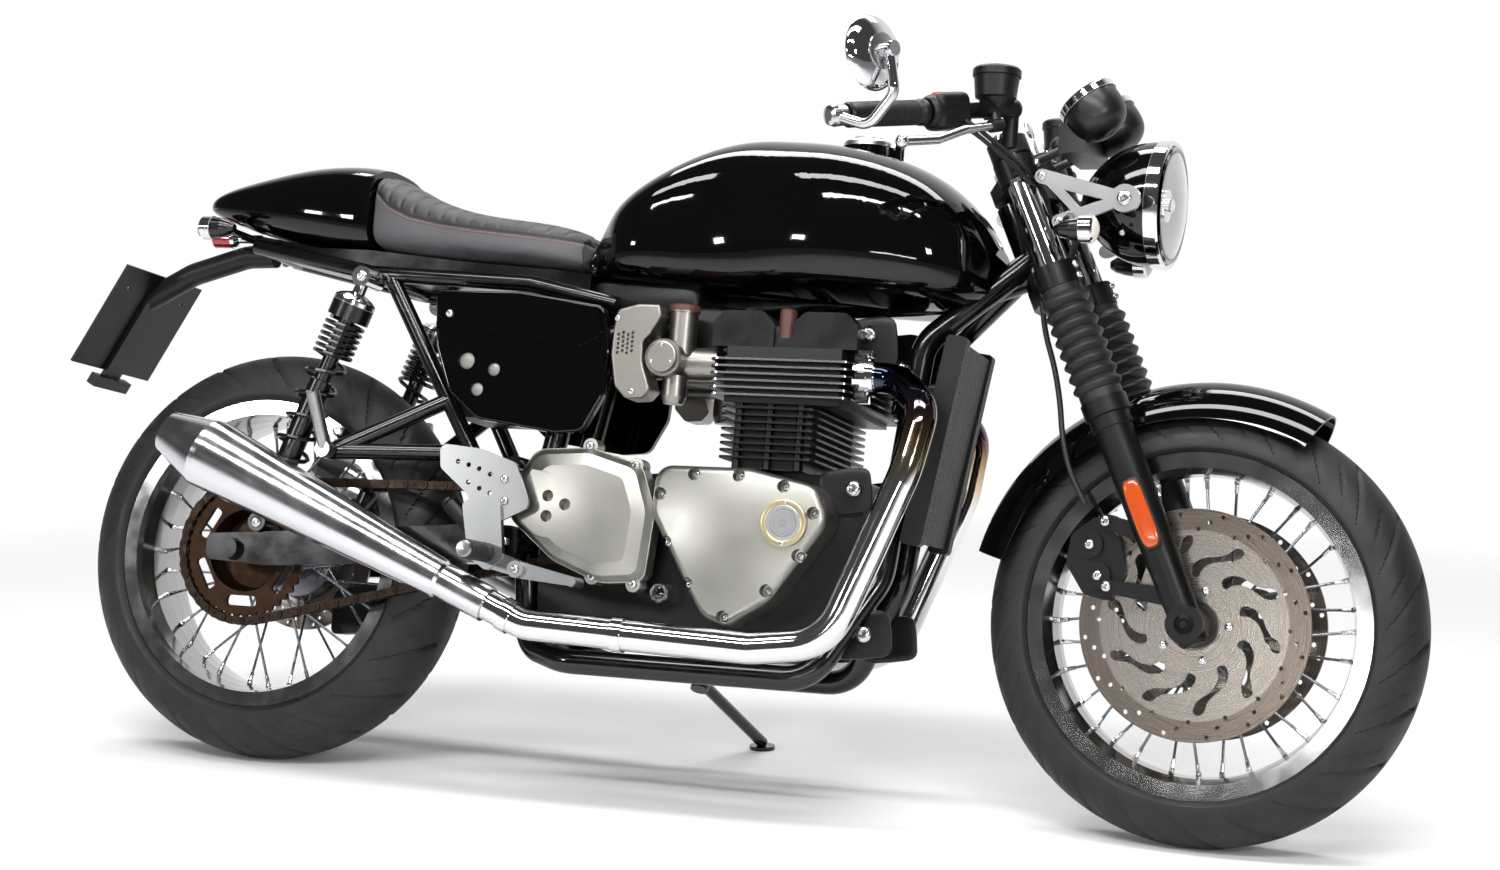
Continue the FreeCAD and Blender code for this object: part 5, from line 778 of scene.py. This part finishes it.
# Clocks
# Two black cups with thin bright bezels; plain white ticks and a red needle on each black dial.
clock_black = textured(finish("moulded black clock cup", "#0c0c0d", 0, 0.36), 0.8, 0.04, 0.3, 0.42)
clock_way = np.array([-0.62, 0, 0.78]) / math.hypot(0.62, 0.78)
clock_at = front_axle + (-191, 0, 715)
painted_on(plated_tip(clock_black, clock_at - clock_way * 9, clock_way, "#dedfe1", 0.06, "steering"), "clocks")
dial_black = finish("printed black dial", "#0a0a0a", 0, 0.6)
dial_white = finish("white dial print", "#e8e8e4", 0, 0.5)
needle_red = finish("red needle", "#c01818", 0, 0.4)
clock_glass = finish("clear clock glass", "#ffffff", 0, 0.02, Transmission_Weight=1.0, IOR=1.45)


def on_dial(turn):
    """The way from a dial's centre at a turn from straight down."""
    across = np.array([0, 1.0, 0])
    return across * math.sin(turn) - np.cross(clock_way, across) * math.cos(turn)


for side in (-1, 1):
    at = clock_at + (0, side * 52, 0)
    ticks = []
    for k in range(25):
        outward = on_dial(math.radians(-130 + k * 260 / 24))
        long, wide = (6, 1.4) if k % 4 == 0 else (3.5, 0.8)
        ticks.append(pebble(at - clock_way * 5.1 + outward * (34 - long / 2), (long, wide, 0.4),
                            outward, clock_way, 8, 8))
    pointing = on_dial(-2.2)
    needle = [pebble(at - clock_way * 4.2 + pointing * 10, (32, 1.6, 0.8), pointing, clock_way, 4, 12),
              spun([(-5.3, 0), (-5.3, 5), (-3.6, 5), (-3.2, 0)], at, clock_way, 20)]
    dial = spun([(-5.9, 0), (-5.9, 37), (-5.4, 37), (-5.4, 0)], at, clock_way, 48)
    glass = spun([(-1.8, 0), (-1.8, 37.3), (-0.6, 37.3), (-0.6, 0)], at, clock_way, 48)
    for name, shape, material in (("dial", dial, dial_black), ("dial_ticks", ticks, dial_white),
                                  ("needle", needle, needle_red), ("clock_glass", glass, clock_glass)):
        piece(f"{name}_{side + 2}", shape, material, "steering")


# Handlebars, grips, switches, cables and mirrors
# Clip-on bars with ribbed rubber grips, moulded switch housings and forged mirror arms.
def swept(path, radius, sides=10):
    """A round section carried along a path: each ring lies across the path's own direction."""
    way = np.gradient(path, axis=0)
    way /= np.linalg.norm(way, axis=1, keepdims=True)
    u = np.cross(way, np.eye(3)[np.argmin(np.abs(way).mean(axis=0))])
    u /= np.linalg.norm(u, axis=1, keepdims=True)
    v = np.cross(way, u)
    turn = turns(sides)
    rings = path[:, None] + radius * (np.cos(turn) * u[:, None] + np.sin(turn) * v[:, None])
    ends = [np.broadcast_to(path[k], (1, sides, 3)) for k in (0, -1)]
    return grid(np.concatenate([ends[0], rings, ends[1]]))


def curve(points, count=40):
    """A Catmull-Rom curve: each span is a cubic of the four points about it."""
    points = np.asarray(points, float)
    points = np.concatenate([2 * points[:1] - points[1:2], points, 2 * points[-1:] - points[-2:-1]])
    t = np.linspace(0, len(points) - 3 - 1e-9, count)
    i = t.astype(int)
    u = (t - i)[:, None]
    a, b, c, d = (points[i + k] for k in range(4))
    square, cube = 2 * a - 5 * b + 4 * c - d, 3 * b - a - 3 * c + d
    return 0.5 * (2 * b + (c - a) * u + square * u ** 2 + cube * u ** 3)


def ribbed(core, length, ribs, steps):
    """A rubber's profile: the same few steps of (along, out) at each rib, between plain ends."""
    waves = [(rib + step, out) for rib in ribs for step, out in steps]
    return [(0, 0), (0, core)] + waves + [(length, core), (length, 0)]


lever_alloy = textured(finish("polished forged lever", "#c6c7c9", 1, 0.2), 1.0, 0.015, 0.16, 0.26)
mirror_foot = beyond(lever_alloy.node_tree, steered([(1032, -398, 950)])[0], way_of((0, 0, 1)))
painted_on(bared(lever_alloy, mirror_foot, "#d5d6d8", 0.05), "levers_and_mirrors")
grip_rubber = textured(finish("moulded grip rubber", "#0e0e0f", 0, 0.6), 1.5, 0.08, 0.5, 0.7)
kill_red = finish("moulded red switch", "#b01512", 0, 0.35)
mirror_glass = finish("silvered mirror glass", "#e6eaec", 1, 0.01)
bar_root, bar_end = np.array([1140.0, -124, 984]), np.array([990.0, -370, 925])
bar_line = (bar_end - bar_root) / np.linalg.norm(bar_end - bar_root)
grip = ribbed(16.5, 116, np.arange(2, 112, 4.0), ((0, 16.9), (2.4, 16.9), (2.8, 16.1), (3.8, 16.1)))
for side in (-1, 1):
    flip = np.array([1, -side, 1])
    line = bar_line * flip
    piece(f"grip_ribs_{side + 2}", spun(grip, bar_end * flip - line * 8, -line, 40), grip_rubber, "steering")
    switch_at = (bar_root + bar_line * 117) * flip
    piece(f"switch_housing_{side + 2}", pebble(switch_at, (58, 46, 50), line, power=5, steps=32), black_plastic,
          "steering")
    piece(f"switch_button_{side + 2}", pebble(switch_at + (-14, 0, 22), (16, 12, 10), line, steps=20),
          kill_red if side < 0 else black_plastic, "steering")
    disc_back, disc_way = np.array([1032, -398, 998]) * flip, np.array([0.92, -0.38, 0.05]) * flip
    glass = spun([(0.2, 0), (-0.8, 0), (-0.8, 45), (0.2, 45.4)], disc_back, disc_way, 48)
    plate = spun([(20, 0), (20, 24), (23.6, 24), (24.4, 22), (24.6, 0)], disc_back, disc_way, 40)
    piece(f"mirror_glass_{side + 2}", glass, mirror_glass, "steering")
    piece(f"mirror_plate_{side + 2}", plate, bright_alloy, "steering")
    cables = [curve([switch_at + (20, 0, -8 - drop), switch_at + (52, side * -24, -30 - drop),
                     (1178, side * 96, 884 - drop), (1188, side * (74 - drop), 838),
                     (1183, side * (58 - drop), 800)]) for drop in (0, 9)]
    piece(f"cables_{side + 2}", [swept(cable, 3.2) for cable in cables], grip_rubber, "steering")
key_at = stem_top + (48, 0, 24)
piece("ignition", spun([(-20, 0), (-20, 15), (6, 15), (8, 12), (8, 0)], key_at, steer_line), black_plastic,
      "steering")
piece("key", [pebble(key_at + steer_line * 24, (30, 3, 9), steer_line, (0, 1, 0), 6, 12),
              pebble(key_at + steer_line * 48, (26, 7, 24), steer_line, (0, 1, 0), 3, 20)], plated, "steering")


# Footrests and rear brake
# Forged hangers with drilled heel guards, ribbed rubber on the rests, and a small master cylinder.
rest = ribbed(13, 71, np.arange(0, 70, 7.0), ((0, 14), (4.5, 14), (5, 13), (6.9, 13)))
for side in (-1, 1):
    out = (0, side, 0)
    piece(f"rest_rubber_{side + 2}", spun(rest, (425, side * 174, 326), out, 24), grip_rubber, "chassis")
    heel = [(442, side * 169, 432), (445, side * 169, 401), (484, side * 200, 304)]
    piece(f"heel_screws_{side + 2}", heads(heel, out, 6, 4), plated, "chassis")
piece("rear_master_cylinder", spun([(0, 0), (0, 8), (10, 8), (12, 13), (58, 13), (62, 10), (66, 10), (66, 0)],
                                   (398, -152, 356), (-1, 0, 0.82), 28), cast_black, "chassis")


# Studio
# A pale floor, soft lamps overhead and in front, and the photograph's camera. The surround is white
# to the eye, and behind the machine to its mirror finishes, which see a dark room in front.
def white_to_the_eye(tree, behind):
    """1 for a camera or glass ray, the share behind the machine for a mirror ray, 0 for the light itself."""
    path = put(tree, "LightPath").outputs
    mirrored = put(tree, "Math", {"operation": "MULTIPLY"}, {0: path["Is Glossy Ray"], 1: behind})
    direct = put(tree, "Math", {"operation": "MAXIMUM"},
                 {0: path["Is Camera Ray"], 1: path["Is Transmission Ray"]})
    both = {0: direct.outputs[0], 1: mirrored.outputs[0]}
    return put(tree, "Math", {"operation": "MAXIMUM"}, both).outputs[0]


def depth_of(tree, source, start, end):
    """0 to 1 as a place or direction goes back along world Y, from start to end."""
    parts = put(tree, "SeparateXYZ", inputs={0: put(tree, "TexCoord").outputs[source]})
    return between(tree, parts.outputs["Y"], 0.0, 1.0, start, end)


world = bpy.data.worlds.new("studio")
bpy.context.scene.world = world
world.use_nodes = True
tree = world.node_tree
seen = white_to_the_eye(tree, depth_of(tree, "Generated", 0.25, 0.7))
room = between(tree, put(tree, "LightPath").outputs["Is Diffuse Ray"], 0.07, 0.3, 0.0, 1.0)
strength = put(tree, "Math", {"operation": "MAXIMUM"}, {0: seen, 1: room})
tree.links.new(strength.outputs[0], tree.nodes["Background"].inputs["Strength"])
tree.nodes["Background"].inputs["Color"].default_value = (1, 1, 1, 1)

reach = 60.0
floor_mesh = bpy.data.meshes.new("floor")
floor_mesh.from_pydata([(-reach, -reach, 0), (reach, -reach, 0), (reach, reach, 0), (-reach, reach, 0)], [],
                       [(0, 1, 2, 3)])
added("floor", floor_mesh)
floor_paint = finish("matt white floor", "#e4e4e5", 0, 0.9)
tree = floor_paint.node_tree
out = put(tree, "VectorMath", {"operation": "LENGTH"}, {0: put(tree, "TexCoord").outputs["Object"]})
far = between(tree, out.outputs["Value"], 0.0, 1.0, 1.1, 3.2)
white = put(tree, "Emission", inputs={"Color": (1, 1, 1, 1), "Strength": 1.0})
eye = white_to_the_eye(tree, depth_of(tree, "Object", 0.6, 2.5))
fade = put(tree, "Math", {"operation": "MULTIPLY"}, {0: far, 1: eye}).outputs[0]
blend = put(tree, "MixShader", inputs={
    0: fade, 1: tree.nodes["Principled BSDF"].outputs[0], 2: white.outputs[0]})
tree.links.new(blend.outputs[0], tree.nodes["Material Output"].inputs["Surface"])
floor_mesh.materials.append(floor_paint)


def lamp(name, at, aim, width, height, power):
    """A soft rectangular lamp that faces a point."""
    light = bpy.data.lights.new(name, "AREA")
    light.shape = "RECTANGLE"
    light.size, light.size_y = width, height
    light.energy = power
    turned = (Vector(aim) - Vector(at)).to_track_quat("-Z", "Y").to_matrix().to_4x4()
    added(name, light).matrix_world = Matrix.Translation(at) @ turned


lamp("strip_near", (0.2, -2.6, 2.7), (0, 0, 0.4), 3.2, 0.16, 80)
lamp("strip_middle", (0.1, -1.1, 3.1), (0, 0, 0.3), 3.4, 0.5, 85)
lamp("strip_far", (0.0, 1.0, 3.0), (0, 0, 0.3), 3.4, 0.6, 70)
lamp("front", (2.9, -3.2, 1.9), (0.3, 0, 0.5), 0.5, 0.35, 42)
lamp("side", (-2.8, -3.6, 1.7), (-0.2, 0, 0.5), 0.5, 0.35, 34)
lamp("low", (0.6, -4.2, 0.9), (0, 0, 0.4), 2.4, 0.12, 26)

camera_data = bpy.data.cameras.new("camera")
camera = added("camera", camera_data)
bpy.context.scene.camera = camera
focal_pixels, frame_pixels, sensor_mm = 2367.0, 1500, 36.0
camera_data.sensor_width = sensor_mm
camera_data.lens = focal_pixels / frame_pixels * sensor_mm
yaw, pitch, roll = (math.radians(a) for a in (108.704, -5.341, 0.771))
forward = Vector((math.cos(pitch) * math.cos(yaw), math.cos(pitch) * math.sin(yaw), math.sin(pitch)))
level_right = forward.cross(Vector((0, 0, 1))).normalized()
level_up = level_right.cross(forward)
right = level_right * math.cos(roll) + level_up * math.sin(roll)
up = level_up * math.cos(roll) - level_right * math.sin(roll)
turn = Matrix((right, up, -forward)).transposed()
camera.matrix_world = Matrix.Translation((1.1605, -3.3434, 0.840)) @ turn.to_4x4()

bpy.context.scene.view_settings.view_transform = "Standard"
